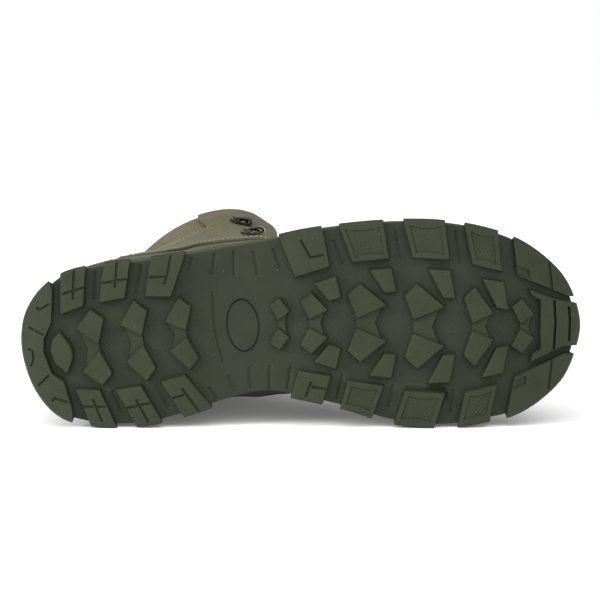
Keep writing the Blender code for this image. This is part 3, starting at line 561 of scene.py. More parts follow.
OUTLINE = Loop(
    [(along, out) for along, out, _ in SOLE_SECTIONS]
    + [(along, out) for along, _, out in SOLE_SECTIONS[-2:0:-1]]
)


def centre_out(along):
    """Distance of the last's centre line from the forefoot's."""
    return -HEEL_SWING_SLOPE * max(0.0, HEEL_SWING_FROM - along)


def level(column, along):
    return monotone(SOLE_PROFILE, column, along)


@lru_cache(maxsize=None)
def outline(t, inset=0.0):
    """Point of the outline at section number t, moved inwards by inset."""
    ahead = OUTLINE.at(t + STEP) - OUTLINE.at(t - STEP)
    ahead /= np.linalg.norm(ahead)
    return OUTLINE.at(t) + inset * np.array((ahead[1], -ahead[0]))


def section_number(along, side):
    """Section number where the outline of one side passes a given length."""
    low, high = 0.0, float(LAST_ROW)
    for _ in range(HALVINGS):
        middle = 0.5 * (low + high)
        if OUTLINE.at(middle if side > 0 else 2 * LAST_ROW - middle)[0] < along:
            low = middle
        else:
            high = middle
    return low if side > 0 else 2 * LAST_ROW - low


def moved_grid(bm, columns, rows, place, mapped=False):
    """Grid of quads whose corner (u, v), both from 0 to 1, goes to place(u, v)."""
    if mapped and not bm.loops.layers.uv:
        bm.loops.layers.uv.new("UVMap")
    made = bmesh.ops.create_grid(
        bm, x_segments=columns, y_segments=rows, size=0.5, calc_uvs=mapped)["verts"]
    for vertex in made:
        vertex.co = to_world(*place(vertex.co.x + 0.5, vertex.co.y + 0.5))
    return made


def stacked(rings):
    """Place function for moved_grid that runs round and up a stack of closed rings."""
    count, last = len(rings[0]), len(rings) - 1

    def place(u, v):
        return rings[round(v * last)][round(u * count) % count]
    return place


def welded(bm):
    """Joins the corners that meet and turns the faces outwards."""
    bmesh.ops.remove_doubles(bm, verts=bm.verts, dist=WELD)
    bmesh.ops.recalc_face_normals(bm, faces=bm.faces)
    return bm


def block(rings, mapped=False):
    """Closed block of a stack of rings, capped at both ends."""
    bm = bmesh.new()
    moved_grid(bm, len(rings[0]), len(rings) - 1, stacked(rings), mapped)
    bmesh.ops.remove_doubles(bm, verts=bm.verts, dist=WELD)
    bmesh.ops.holes_fill(bm, edges=bm.edges, sides=0)
    bmesh.ops.recalc_face_normals(bm, faces=bm.faces)
    return bm


def poured(bm, part):
    """Adds a finished bmesh to another one."""
    mesh = bpy.data.meshes.new("poured")
    part.to_mesh(mesh)
    part.free()
    bm.from_mesh(mesh)
    bpy.data.meshes.remove(mesh)


def new_piece(name, bm):
    """Object at the origin from a bmesh, shaded smooth."""
    mesh = bpy.data.meshes.new(name)
    bm.to_mesh(mesh)
    bm.free()
    mesh.shade_smooth()
    made = bpy.data.objects.new(name, mesh)
    bpy.context.scene.collection.objects.link(made)
    return made


def carved(piece, helper, operation):
    """Exact boolean of a piece with a helper, which is then removed."""
    modifier = piece.modifiers.new("carved", "BOOLEAN")
    modifier.operation = operation
    modifier.object = helper
    modifier.solver = "EXACT"
    bpy.context.view_layer.update()
    done = bpy.data.meshes.new_from_object(piece.evaluated_get(bpy.context.evaluated_depsgraph_get()))
    piece.modifiers.clear()
    before, piece.data = piece.data, done
    done.name = piece.name
    bpy.data.meshes.remove(before)
    bpy.data.meshes.remove(helper.data)


def dress(piece, material, slot, *nodes):
    """Finish of a piece, the nodes it stands for, and its ride on the boot."""
    piece.data.materials.clear()
    piece.data.materials.append(material)
    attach(piece, "root")
    if nodes:
        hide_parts(*nodes)
    return piece


def ringed(rings, spot, steps, across, settled):
    """Layer on the sole's outline: sides that run up the rings, and a cap on each end."""
    bm = bmesh.new()
    around = 2 * LAST_ROW * steps

    def side(u, v):
        return spot(round(u * around) % around / steps, rings[round(v * (len(rings) - 1))])

    def cap(ring):
        def place(u, v):
            step = round(u * around / 2)
            lateral = np.array(spot(step / steps, ring))
            medial = np.array(spot((around - step) % around / steps, ring))
            return settled(lateral + v * (medial - lateral), ring)
        return place

    moved_grid(bm, around, len(rings) - 1, side)
    for ring in (rings[0], rings[-1]):
        moved_grid(bm, around // 2, across, cap(ring))
    bmesh.ops.remove_doubles(bm, verts=bm.verts, dist=WELD)
    return bm


def sole_layer(rings, bottom, top, lift=0.0):
    """Layer of the sole between two profile columns, with stepped sides."""
    def raised(along, out, share):
        low = level(bottom, along) + lift
        return along, out, low + share * (level(top, along) - low)

    def spot(t, ring):
        share, inset = ring
        return raised(*outline(t, inset), share)

    def settled(place, ring):
        return raised(place[0], place[1], ring[0])

    bm = ringed(rings, spot, SOLE_STEPS, SOLE_ACROSS, settled)
    bmesh.ops.dissolve_degenerate(bm, edges=bm.edges, dist=WELD)
    bmesh.ops.recalc_face_normals(bm, faces=bm.faces)
    return bm


def grown(polygon, amount):
    """Polygon with each edge moved outwards by amount."""
    points = [np.array(point) for point in polygon]
    area = sum(a[0] * b[1] - a[1] * b[0] for a, b in zip(points, points[1:] + points[:1]))
    turn = 1.0 if area > 0 else -1.0
    moved = []
    for before, here, after in zip(points[-1:] + points[:-1], points, points[1:] + points[:1]):
        first = (here - before) / np.linalg.norm(here - before)
        second = (after - here) / np.linalg.norm(after - here)
        normal_first = turn * np.array((first[1], -first[0]))
        normal_second = turn * np.array((second[1], -second[0]))
        middle = normal_first + normal_second
        moved.append(here + amount * 2.0 * middle / max(np.dot(middle, middle), 1.0))
    return moved


def rounded_lug(rings, column, rise=0.0):
    """Lug between rings of points, its face fitted to the tread and its sharp edges rounded."""
    bm = block(rings)
    lengths = [point[0] for point in rings[0]]
    upright = LYING_TURN @ Vector((0.0, 0.0, 1.0))
    caps = [f for f in bm.faces if len(f.verts) == len(rings[0])]
    tip = min(caps, key=lambda f: f.normal.dot(upright))
    cut = ceil(min(lengths) / LUG_CUTS_ALONG) * LUG_CUTS_ALONG
    pieces = [tip] + list(tip.edges) + list(tip.verts)
    while cut < max(lengths):
        pieces = bmesh.ops.bisect_plane(
            bm, geom=pieces, dist=WELD, plane_co=to_world(cut, 0.0, 0.0), plane_no=(1.0, 0.0, 0.0),
        )["geom"]
        cut += LUG_CUTS_ALONG
    for vertex in (v for v in pieces if isinstance(v, bmesh.types.BMVert)):
        along, out, _ = from_world(vertex.co)
        vertex.co = to_world(along, out, level(column, along) + rise)
    roots = {tuple(round(c, 6) for c in to_world(*point)) for point in rings[-1]}

    def at_root(edge):
        return all(tuple(round(c, 6) for c in v.co) in roots for v in edge.verts)

    sharp = [e for e in bm.edges if e.calc_face_angle(0.0) > SHARP_ANGLE and not at_root(e)]
    bmesh.ops.bevel(
        bm, geom=sharp, offset=LUG_ROUND * MM, offset_type="OFFSET", segments=LUG_ROUND_STEPS,
        profile=0.5, affect="EDGES", material=-1, clamp_overlap=True,
    )
    return bm


def tread_lug(bm, polygon, column=TIP, rise=0.0):
    """Lug with sloping walls from its tip up into the outsole."""
    tip = [(a, o, level(column, a) + rise) for a, o in polygon]
    root = [(a, o, level(FLOOR, a) + LUG_ROOT) for a, o in grown(polygon, LUG_DRAFT)]
    poured(bm, rounded_lug([tip, root], column, rise))


def outline_run(start, end, inset):
    """Points along the outline between two section numbers."""
    steps = max(SIDE_STEPS, round(SIDE_STEPS * abs(end - start)))
    return [outline(start + (end - start) * i / steps, inset) for i in range(steps + 1)]


def edge_lug(bm, start, end, inner):
    """Lug on the sole's edge, whose outer face goes on up the side as a rib."""
    edge = outline_run(start, end, 0.0)
    body = edge + [np.array(point) for point in inner]
    wide = grown(body, LUG_DRAFT)
    half = [(a + b) / 2 for a, b in zip(body, wide)]

    def ring(points, inset, height):
        moved = outline_run(start, end, inset)
        return [(a, o, height(a)) for a, o in moved + points[len(edge):]]

    root = ring(wide, SIDE_SINK, lambda a: level(FLOOR, a) + SIDE_RISE)
    root[len(edge):] = [(a, o, level(FLOOR, a) + LUG_ROOT) for a, o, _ in root[len(edge):]]
    poured(bm, rounded_lug([
        ring(body, SIDE_CHAMFER - SIDE_PROUD, lambda a: level(TIP, a)),
        ring(half, -SIDE_PROUD, lambda a: level(TIP, a) + SIDE_SHOULDER),
        root,
    ], TIP))


def swung(along, centre, offset, out, side):
    """Point of a mirrored pair, on the centre line's own direction."""
    slope = HEEL_SWING_SLOPE if along < HEEL_SWING_FROM else 0.0
    angle = atan2(slope, 1.0)
    a = offset * cos(angle) - side * out * sin(angle)
    o = offset * sin(angle) + side * out * cos(angle)
    return (along + a, centre_out(along) + centre + o)


def side_lugs(bm):
    for side, outer_start, outer_end, inner_start, inner_end, out_start, out_end, _ in SIDE_LUGS:
        start = section_number(outer_start, side)
        end = section_number(outer_end, side)
        edge_lug(bm, start, end, ((inner_end, out_end), (inner_start, out_start)))


def kite_lugs(bm):
    for along, centre, root, reach, tip_out, spread in KITES:
        front = 1.0 if reach > 0 else -1.0
        corners = (
            (0.0, root),
            (reach, tip_out),
            (KITE_LEAN * reach, spread),
            (-front * KITE_BACK, KITE_BACK_SHARE * spread),
        )
        for side in (1, -1):
            tread_lug(bm, [swung(along, centre, offset, out, side) for offset, out in corners])


def trapezoid_lugs(bm):
    for along, centre, inner, outer, turn in TRAPEZOIDS:
        tilt = tan(radians(turn))
        ends = ((along, TRAPEZOID_INNER / 2, inner), (along + TRAPEZOID_SHIFT, -TRAPEZOID_OUTER / 2, outer))
        for side in (1, -1):
            corners = []
            for middle, half, out in ends:
                corners.append((middle - half, centre + side * (out - half * tilt)))
                corners.append((middle + half, centre + side * (out + half * tilt)))
            tread_lug(bm, corners)


def heel_and_toe_lugs(bm):
    heel_lateral = section_number(HEEL_CRESCENT_ENDS[0], 1)
    heel_medial = section_number(HEEL_CRESCENT_ENDS[1], -1) - 2 * LAST_ROW
    edge_lug(bm, heel_medial, heel_lateral, HEEL_CRESCENT_INNER)
    tread_lug(bm, HEEL_LENS)
    toe_lateral = section_number(TOE_BAR_ENDS[0], 1)
    toe_medial = section_number(TOE_BAR_ENDS[1], -1)
    edge_lug(bm, toe_lateral, toe_medial, TOE_BAR_BACK[::-1])


def kite_webs(bm):
    """Low bow-tie plates that join the two kites of a pair."""
    for along, centre, root, reach, tip_out, _ in KITES:
        tip = (WEB_REACH * reach, tip_out)
        polygon = [swung(along, centre, 0.0, root, 1), swung(along, centre, *tip, 1)]
        polygon += [swung(along, centre, WEB_NOTCH * reach, 0.0, 1)]
        polygon += [swung(along, centre, *tip, -1), swung(along, centre, 0.0, root, -1)]
        tread_lug(bm, polygon, FLOOR, -WEB_DEPTH)


def channel(bm, pixels, mouth, bed, column, depth):
    """Cutter for a groove along a run of pixels, narrower at its bed than at its mouth."""
    run = [np.array(from_photo(*pixel)) for pixel in pixels]
    ways = [(b - a) / np.linalg.norm(b - a) for a, b in zip(run, run[1:])]
    corners = ((-bed, depth), (bed, depth), (2.0 * mouth - bed, -depth), (bed - 2.0 * mouth, -depth))
    rings = []
    for i, here in enumerate(run):
        after = ways[min(i, len(ways) - 1)]
        way = ways[max(i - 1, 0)] + after
        way /= np.linalg.norm(way)
        aside = np.array((-way[1], way[0])) / np.dot(way, after)
        places = [(here + 0.5 * wide * aside, sink) for wide, sink in corners]
        rings.append([(a, o, level(column, a) + sink) for (a, o), sink in places])
    poured(bm, block(rings))


def oval_groove(bm):
    """Cutter for the ring that is sunk into the waist's floor."""
    rings = []
    for sink, sign in ((OVAL_DEPTH, -1), (OVAL_DEPTH, 1), (-2 * OVAL_DEPTH, 1), (-2 * OVAL_DEPTH, -1)):
        ring = []
        for i in range(OVAL_SIDES):
            angle = 2.0 * pi * i / OVAL_SIDES
            a = (OVAL_SHORT + sign * OVAL_GROOVE / 2) * cos(angle)
            o = (OVAL_LONG + sign * OVAL_GROOVE / 2) * sin(angle)
            along = OVAL_ALONG + a * cos(OVAL_TURN) - o * sin(OVAL_TURN)
            out = OVAL_OUT + a * sin(OVAL_TURN) + o * cos(OVAL_TURN)
            ring.append((along, out, level(FLOOR, along) + sink))
        rings.append(ring)
    rings.append(rings[0])
    part = bmesh.new()
    moved_grid(part, OVAL_SIDES, len(rings) - 1, stacked(rings))
    poured(bm, welded(part))


def knurl_panel(row):
    """Place function of the sunk panel on a knurled side lug: u along, v inwards."""
    side, outer_start, outer_end, inner_start, inner_end, out_start, out_end, _ = row
    edge = [outline(section_number(a, side), SIDE_CHAMFER - SIDE_PROUD) for a in (outer_start, outer_end)]
    corners = [edge[0], edge[1], np.array((inner_end, out_end)), np.array((inner_start, out_start))]
    corners = grown(corners, -KNURL_BORDER)

    def place(u, v):
        v = 0.5 + (v - 0.5) * (1.0 - KNURL_BOW * 4.0 * u * (1.0 - u))
        outer = corners[0] + u * (corners[1] - corners[0])
        inner = corners[3] + u * (corners[2] - corners[3])
        return outer + v * (inner - outer)
    return place


def knurl_border(place):
    """Points round the panel's edge."""
    steps = [i / KNURL_EDGE_STEPS for i in range(KNURL_EDGE_STEPS)]
    run = [place(s, 0.0) for s in steps] + [place(1.0, s) for s in steps]
    return run + [place(1.0 - s, 1.0) for s in steps] + [place(0.0, 1.0 - s) for s in steps]


def knurl_height(along, out):
    """Diamond knurl: two families of ridges that cross."""
    def ridge(x):
        return abs(2.0 * (x / KNURL_PITCH % 1.0) - 1.0)
    return KNURL_HEIGHT * min(ridge(along + KNURL_SLOPE * out), ridge(along - KNURL_SLOPE * out))


def crossing_cuts(turn):
    """Every second groove of the lugs, so that no two of one cutter overlap."""
    bm = bmesh.new()
    for run in LUG_SIPES[turn::2]:
        channel(bm, run, SIPE_MOUTH, SIPE_BED, TIP, SIPE_DEPTH)
    return new_piece("crossing_cuts", bm)


def tread_cuts():
    """Grooves, notches and sunk panels of the tread that keep clear of each other."""
    bm = bmesh.new()
    for run in TOE_BAR_SPLITS:
        channel(bm, run, TOE_SPLIT_MOUTH, TOE_SPLIT_BED, TIP, TOE_SPLIT_DEPTH)
    for run in FLOOR_SLITS:
        channel(bm, run, SLIT_MOUTH, SLIT_BED, FLOOR, SLIT_DEPTH)
    channel(bm, WAIST_LINE, WAIST_LINE_MOUTH, WAIST_LINE_BED, FLOOR, WAIST_LINE_DEPTH)
    for corners in TOE_NOTCHES:
        flat = [from_photo(*corner) for corner in corners]
        sinks = (NOTCH_DEPTH, -NOTCH_DEPTH)
        poured(bm, block([[(a, o, level(TIP, a) + sink) for a, o in flat] for sink in sinks]))
    for row in KNURLED_LUGS:
        flat = knurl_border(knurl_panel(row))
        wide = grown(flat, KNURL_SINK)
        poured(bm, block([
            [(a, o, level(TIP, a) + KNURL_SINK) for a, o in flat],
            [(a, o, level(TIP, a) - KNURL_SINK) for a, o in wide],
        ]))
    oval_groove(bm)
    return new_piece("tread_cuts", bm)


def knurl_tiles():
    """Knurled floors of the sunk panels, each a closed tile."""
    bm = bmesh.new()
    for row in KNURLED_LUGS:
        place = knurl_panel(row)

        def knurled(u, v):
            along, out = place(u, v)
            fade = min(1.0, KNURL_FADE * min(u, 1.0 - u, v, 1.0 - v))
            return along, out, level(TIP, along) + KNURL_SINK - KNURL_LAP - fade * knurl_height(along, out)

        tile = bmesh.new()
        moved_grid(tile, KNURL_COLUMNS, KNURL_ROWS, knurled)
        down = bmesh.ops.extrude_face_region(tile, geom=tile.faces[:])["geom"]
        sunk = [v for v in down if isinstance(v, bmesh.types.BMVert)]
        for vertex in sunk:
            along, out, _ = from_world(vertex.co)
            vertex.co = to_world(along, out, level(TIP, along) + 2.0 * KNURL_SINK)
        bmesh.ops.recalc_face_normals(tile, faces=tile.faces)
        poured(bm, tile)
    return bm


def flattened(bm):
    """Presses what would reach below the floor flat on it."""
    for vertex in bm.verts:
        vertex.co.z = max(vertex.co.z, 0.0)


def measured_depth(mesh):
    """Point attribute: 0 on the lugs' faces, 1 on the floor between them, 2 up the side."""
    depth = mesh.attributes.new("depth", "FLOAT", "POINT")
    values = []
    for vertex in mesh.vertices:
        along, _, height = from_world(vertex.co)
        tip, floor = level(TIP, along), level(FLOOR, along)
        values.append(min((height - tip) / (floor - tip), 2.0))
    depth.data.foreach_set("value", values)


def make_outsole():
    """Outsole with its webs, lugs, grooves and knurled panels."""
    outsole = new_piece("outsole_tread", sole_layer(OUTSOLE_RINGS, FLOOR, DECK))
    webs = bmesh.new()
    kite_webs(webs)
    carved(outsole, new_piece("webs", webs), "UNION")
    lugs = bmesh.new()
    for family in (side_lugs, kite_lugs, trapezoid_lugs, heel_and_toe_lugs):
        family(lugs)
    carved(outsole, new_piece("lugs", lugs), "UNION")
    for cutter in (tread_cuts(), crossing_cuts(0), crossing_cuts(1)):
        carved(outsole, cutter, "DIFFERENCE")
    bm = bmesh.new()
    bm.from_mesh(outsole.data)
    bmesh.ops.remove_doubles(bm, verts=bm.verts, dist=WELD)
    bmesh.ops.dissolve_degenerate(bm, edges=bm.edges, dist=WELD)
    poured(bm, knurl_tiles())
    flattened(bm)
    bm.to_mesh(outsole.data)
    bm.free()
    outsole.data.shade_smooth()
    outsole.data.set_sharp_from_angle(angle=SHADE_SHARP)
    measured_depth(outsole.data)
    even = outsole.modifiers.new("even_shading", "WEIGHTED_NORMAL")
    even.keep_sharp = True
    return outsole


def upper_ring():
    """Loop through the ribs of both sides: feather place, two guides and the edge."""
    rows = []
    for rib in range(RIBS_ROUND):
        side = 1 if rib <= HALF_RIBS else -1
        row = UPPER_RIBS[rib if side > 0 else RIBS_ROUND - rib]
        foot_along, forward, swell, low_height = row[:4]
        number = section_number(foot_along, side)
        foot = outline(number, FEATHER_INSET)
        fuller_low, fuller_high = MEDIAL_FULLNESS.get(RIBS_ROUND - rib, (0.0, 0.0))
        low = (foot[0] + forward, foot[1] + side * (swell + fuller_low), low_height)
        high = (row[4], centre_out(row[4]) + side * (row[5] + fuller_high), row[6])
        edge = (row[7], centre_out(row[7]) + side * row[8], row[9])
        drift = number - 2.0 * LAST_ROW * rib / RIBS_ROUND
        rows.append((drift,) + low + high + edge)
    return Loop(rows, measure=slice(7, 10))


UPPER = upper_ring()


@lru_cache(maxsize=None)
def rib_guides(rib):
    """Foot, two guides and edge of the upper's curve at a rib number."""
    row = UPPER.at(rib)
    along, out = outline(row[0] + 2.0 * LAST_ROW * rib / RIBS_ROUND, FEATHER_INSET)
    foot = np.array((along, out, level(FEATHER, along) + GAP))
    return foot, row[1:4], row[4:7], row[7:10]


def bezier(t, a, b, c, d):
    """Point of a Bezier curve from a over the guides b and c to d."""
    s = 1.0 - t
    return s**3 * a + 3 * s * s * t * b + 3 * s * t * t * c + t**3 * d


def upper_point(rib, lift):
    """Outer face of the upper: rib number round the boot, lift from feather to edge."""
    return bezier(lift, *rib_guides(round(rib % RIBS_ROUND, 6)))


def upper_normal(rib, lift):
    """Outward direction of the upper's face."""
    round_it = upper_point(rib + STEP, lift) - upper_point(rib - STEP, lift)
    upward = upper_point(rib, min(lift + STEP, 1.0)) - upper_point(rib, max(lift - STEP, 0.0))
    # out runs against the lying boot's third axis, so the cross product is turned round
    normal = -np.cross(round_it, upward)
    return normal / np.linalg.norm(normal)


def upper_face(rib, lift, offset):
    return upper_point(rib, lift) + offset * upper_normal(rib, lift)


def smooth(low, high, x):
    """Smooth step from 0 at low to 1 at high."""
    f = min(max((x - low) / (high - low), 0.0), 1.0)
    return f * f * (3.0 - 2.0 * f)


def from_back(rib):
    """Ribs between the back of the heel and a rib of either side."""
    return min(rib % RIBS_ROUND, RIBS_ROUND - rib % RIBS_ROUND)


def run_distance(run, x, y):
    """Shortest distance in millimetres from a spot of the opened-out upper to a run of points."""
    nearest = 1000.0
    for (rib, lift), (next_rib, next_lift) in zip(run, run[1:]):
        ax, ay = rib * RIB_RUN, lift * LEVEL_RUN
        dx, dy = next_rib * RIB_RUN - ax, next_lift * LEVEL_RUN - ay
        t = min(max(((x - ax) * dx + (y - ay) * dy) / (dx * dx + dy * dy), 0.0), 1.0)
        nearest = min(nearest, hypot(x - ax - t * dx, y - ay - t * dy))
    return nearest


def creased(rib, lift):
    """Height of the soft troughs and ridges at a spot of the upper."""
    x, y = from_back(rib) * RIB_RUN, lift * LEVEL_RUN
    return sum(-depth * exp(-(run_distance(run, x, y) / width) ** 2) for width, depth, run in CREASES)


def upper_skin(rib, lift):
    """Height of the upper's surface over its plain form."""
    ramp = (COUNTER_LEVEL - COUNTER_RAMP, COUNTER_LEVEL + COUNTER_RAMP)
    counter = COUNTER_STEP * (1.0 - smooth(*ramp, lift))
    counter *= 1.0 - smooth(TEXTILE_TO_RIB, TEXTILE_TO_RIB + 1.0, from_back(rib))
    return counter + creased(rib, lift)


def edge_rim(rib, turn):
    """Rounded top edge of the wall, from its outer face at 0 to its inner face at 1."""
    outer = upper_skin(rib, 1.0)
    middle, radius = (outer - UPPER_WALL) / 2, (outer + UPPER_WALL) / 2
    upward = upper_point(rib, 1.0) - upper_point(rib, RIM_FROM)
    upward /= np.linalg.norm(upward)
    across = upper_face(rib, 1.0, middle + radius * cos(pi * turn))
    return across + RIM_RISE * radius * sin(pi * turn) * upward


def make_upper():
    """Hollow upper: outer face, rounded edge and inner face as one closed wall."""
    rows = UPPER_ROWS_ROUND

    def place(u, v):
        rib = round(u * UPPER_COLUMNS) % UPPER_COLUMNS * RIBS_ROUND / UPPER_COLUMNS
        row = round(v * rows)
        if row <= UPPER_ROWS:
            lift = row / UPPER_ROWS
            return upper_face(rib, lift, upper_skin(rib, lift))
        row -= UPPER_ROWS
        if row < UPPER_RIM_ROWS:
            return edge_rim(rib, row / UPPER_RIM_ROWS)
        row -= UPPER_RIM_ROWS
        if row > UPPER_ROWS:
            return upper_face(rib, 0.0, upper_skin(rib, 0.0))
        lift = 1.0 - row / UPPER_ROWS
        inner = upper_face(rib, lift, -UPPER_WALL)
        if lift == 0.0:
            inner[2] = upper_point(rib, 0.0)[2]
        return inner

    bm = bmesh.new()
    moved_grid(bm, UPPER_COLUMNS, rows, place, mapped=True)
    flattened(welded(bm))
    return new_piece("upper_shell", bm)


def plate(columns, rows, top, bottom):
    """Closed plate between two faces, both given as place functions."""
    bm = bmesh.new()
    across, up = bm.verts.layers.float.new("across"), bm.verts.layers.float.new("up")
    for vertex in bmesh.ops.create_grid(bm, x_segments=columns, y_segments=rows, size=0.5)["verts"]:
        vertex[across], vertex[up] = vertex.co.x + 0.5, vertex.co.y + 0.5
    under = bmesh.ops.extrude_face_region(bm, geom=bm.faces[:])["geom"]
    under = {vertex for vertex in under if isinstance(vertex, bmesh.types.BMVert)}
    for vertex in bm.verts:
        place = bottom if vertex in under else top
        vertex.co = to_world(*place(vertex[across], vertex[up]))
    bmesh.ops.recalc_face_normals(bm, faces=bm.faces)
    return bm


def eyestay_spot(side, u, v):
    """Rib and level on the overlay: u from the heel to the toe end, v from low to high edge."""
    first, last = EYESTAY_EDGE[0][0], EYESTAY_EDGE[-1][0]
    rib = first + u * (last - first)
    low, high = monotone(EYESTAY_EDGE, 1, rib), monotone(EYESTAY_EDGE, 2, rib)
    lift = low + v * (high - low)
    lean = smooth(*TAB_LEAN_LEVELS, lift) * smooth(*TAB_LEAN_GROWS, rib)
    lean *= 1.0 - smooth(*TAB_LEAN_FADES, rib)
    return side * (rib - TAB_LEAN * lean), lift


def eyestay_height(rib, lift):
    """Height of the overlay's face over the upper's plain form."""
    tab = smooth(TAB_FROM_LEVEL - TAB_RAMP, TAB_FROM_LEVEL + TAB_RAMP, lift)
    tab *= 1.0 - smooth(*TAB_FADE_RIBS, from_back(rib))
    return GAP + EYESTAY_THICK + TAB_STEP * tab + creased(rib, lift)


def make_eyestay(side_name, side):
    """Leather overlay with rounded edges, on the upper's own form."""
    def inside(u, v):
        here = upper_point(*eyestay_spot(side, u, v))
        borders = [(u, 0.0), (u, 1.0), (0.0, v), (1.0, v)]
        return min(np.linalg.norm(upper_point(*eyestay_spot(side, *b)) - here) for b in borders)

    def top(u, v):
        rib, lift = eyestay_spot(side, u, v)
        fall = 1.0 - min(inside(u, v) / EYESTAY_ROUND, 1.0)
        return upper_face(rib, lift, eyestay_height(rib, lift) - EYESTAY_FALL * EYESTAY_THICK * fall * fall)

    def bottom(u, v):
        rib, lift = eyestay_spot(side, u, v)
        return upper_face(rib, lift, creased(rib, lift))

    bm = plate(EYESTAY_COLUMNS, EYESTAY_ROWS, top, bottom)
    flattened(bm)
    return new_piece("overlay_" + side_name, bm)


def walked(row):
    """Spots along a run of rib and level, one for each stitch, with its way."""
    spots = [np.array(row[0])]
    for start, end in zip(row, row[1:]):
        step = (np.array(end) - np.array(start)) / STITCH_WALK
        spots += [np.array(start) + i * step for i in range(1, STITCH_WALK + 1)]
    places = [upper_point(*spot) for spot in spots]
    due = 0.5 * STITCH_PITCH
    for (spot, place), (next_spot, next_place) in zip(zip(spots, places), zip(spots[1:], places[1:])):
        length = np.linalg.norm(next_place - place)
        while due <= length:
            yield spot + (next_spot - spot) * due / length, next_spot - spot
            due += STITCH_PITCH
        due -= length


def set_at(here, *axes):
    """Matrix that sets a thing down at a place, with its X, Y and Z along three directions."""
    place = Matrix(axes).transposed().to_4x4()
    place.translation = here
    return place


def ball(bm, sides, radius):
    """Sphere at the origin with a number of sides round and up; gives its corners."""
    around, up = sides
    return bmesh.ops.create_uvsphere(bm, u_segments=around, v_segments=up, radius=radius * MM)["verts"]


def sew(bm, row, side, height):
    """Row of stitches, each a small flattened bead that dips into the leather at its ends."""
    for (rib, lift), way in walked(row):
        offset = height(side * rib, lift)
        here = to_world(*upper_face(side * rib, lift, offset))
        up = (to_world(*upper_face(side * rib, lift, offset + 1.0)) - here).normalized()
        ahead = to_world(*upper_face(side * (rib + way[0]), lift + way[1], offset)) - here
        ahead = (ahead - up * ahead.dot(up)).normalized()
        bead = ball(bm, STITCH_SIDES, 0.5)
        bmesh.ops.scale(bm, vec=(STITCH_LONG, STITCH_WIDE, STITCH_HIGH), verts=bead)
        bmesh.ops.transform(bm, matrix=set_at(here, ahead, up.cross(ahead), up), verts=bead)


def edge_row(column, shift, first, last):
    """Run that follows an edge of the overlay."""
    steps = round((last - first) / STITCH_EDGE_STEP)
    ribs = [first + (last - first) * i / steps for i in range(steps + 1)]
    return [(rib, monotone(EYESTAY_EDGE, column, rib) + shift) for rib in ribs]


def make_thread(side_name, side):
    """Stitches of one side: the overlay's rows and the top of the counter."""
    bm = bmesh.new()
    for row in STITCH_ROWS + tuple(edge_row(*edge) for edge in STITCH_EDGES):
        sew(bm, row, side, eyestay_height)
    ribs = [COUNTER_FIRST + COUNTER_PITCH * i for i in range(COUNTER_POINTS)]
    sew(bm, [(rib, COUNTER_LEVEL - COUNTER_STITCH) for rib in ribs], side, upper_skin)
    flattened(bm)
    return new_piece("thread_" + side_name, bm)


def tongue_section(rib, offset):
    """Section of the tongue under both edges of the throat at one rib."""
    lateral = [upper_face(rib, v, offset) for v in TONGUE_TUCK_LEVELS]
    medial = [upper_face(-rib, v, offset) for v in TONGUE_TUCK_LEVELS]
    width = np.linalg.norm(lateral[-1] - medial[-1])

    def onward(run):
        step = run[-1] - run[-2]
        return run[-1] + TONGUE_BRIDGE_PULL * width * step / np.linalg.norm(step)

    guides = (lateral[-1], onward(lateral), onward(medial), medial[-1])
    bridge = [bezier(i / TONGUE_BRIDGE, *guides) for i in range(1, TONGUE_BRIDGE)]
    return lateral + bridge + medial[::-1]


def tongue_grid(offset):
    """Sections of the tongue from its toe end to its top."""
    span = THROAT_CORNER_RIB - COLLAR_CORNER_RIB
    ribs = [THROAT_CORNER_RIB - span * i / TONGUE_ROWS for i in range(TONGUE_ROWS + 1)]
    grid = [np.array(tongue_section(rib, offset)) for rib in ribs]
    forward = grid[0] - grid[3]
    forward *= TONGUE_TOE_REACH / np.linalg.norm(forward, axis=1)[:, None]
    upward = grid[-1] - grid[-4]
    upward *= TONGUE_RISE / np.linalg.norm(upward, axis=1)[:, None]
    toe_end = [grid[0] + share * forward for share in TONGUE_TOE_SHARES]
    top_end = [grid[-1] + share * upward for share in TONGUE_TOP_SHARES]
    return toe_end + grid + top_end


def make_tongue():
    """Padded tongue with quilted channels across its middle."""
    outer = tongue_grid(-UPPER_WALL - TONGUE_CLEAR)
    inner = tongue_grid(-UPPER_WALL - TONGUE_CLEAR - TONGUE_THICK)
    columns, rows = len(outer[0]) - 1, len(outer) - 1

    def padding(u, v):
        ends = min(u, 1.0 - u) * columns
        tips = min(v, 1.0 - v) * rows
        thin = 1.0 - (1.0 - min(ends / TONGUE_SIDE_COLUMNS, 1.0)) ** 2
        thin *= 1.0 - TONGUE_END_THIN * (1.0 - min(tips / TONGUE_END_ROWS, 1.0)) ** 2
        channel = abs(sin(pi * TONGUE_CHANNELS * v)) ** 0.5
        return thin, TONGUE_QUILT * (1.0 - channel)

    def face(front):
        def place(u, v):
            i, j = round(v * rows), round(u * columns)
            thin, quilt = padding(u, v)
            middle = (outer[i][j] + inner[i][j]) / 2
            half = (outer[i][j] - inner[i][j]) / 2
            share = thin - quilt / TONGUE_THICK if front else -thin
            return middle + share * half
        return place

    return new_piece("tongue_pad", plate(columns, rows, face(True), face(False)))


def make_insole():
    """Foot bed: a sheet with rounded edges on the midsole."""
    def spot(t, ring):
        share, inset = ring
        along, out = outline(t, INSOLE_INSET + inset)
        return along, out, level(FEATHER, along) + GAP + share * INSOLE_THICK

    bm = ringed(INSOLE_RINGS, spot, INSOLE_STEPS, INSOLE_ACROSS, lambda place, ring: place)
    bmesh.ops.recalc_face_normals(bm, faces=bm.faces)
    return new_piece("foot_bed", bm)


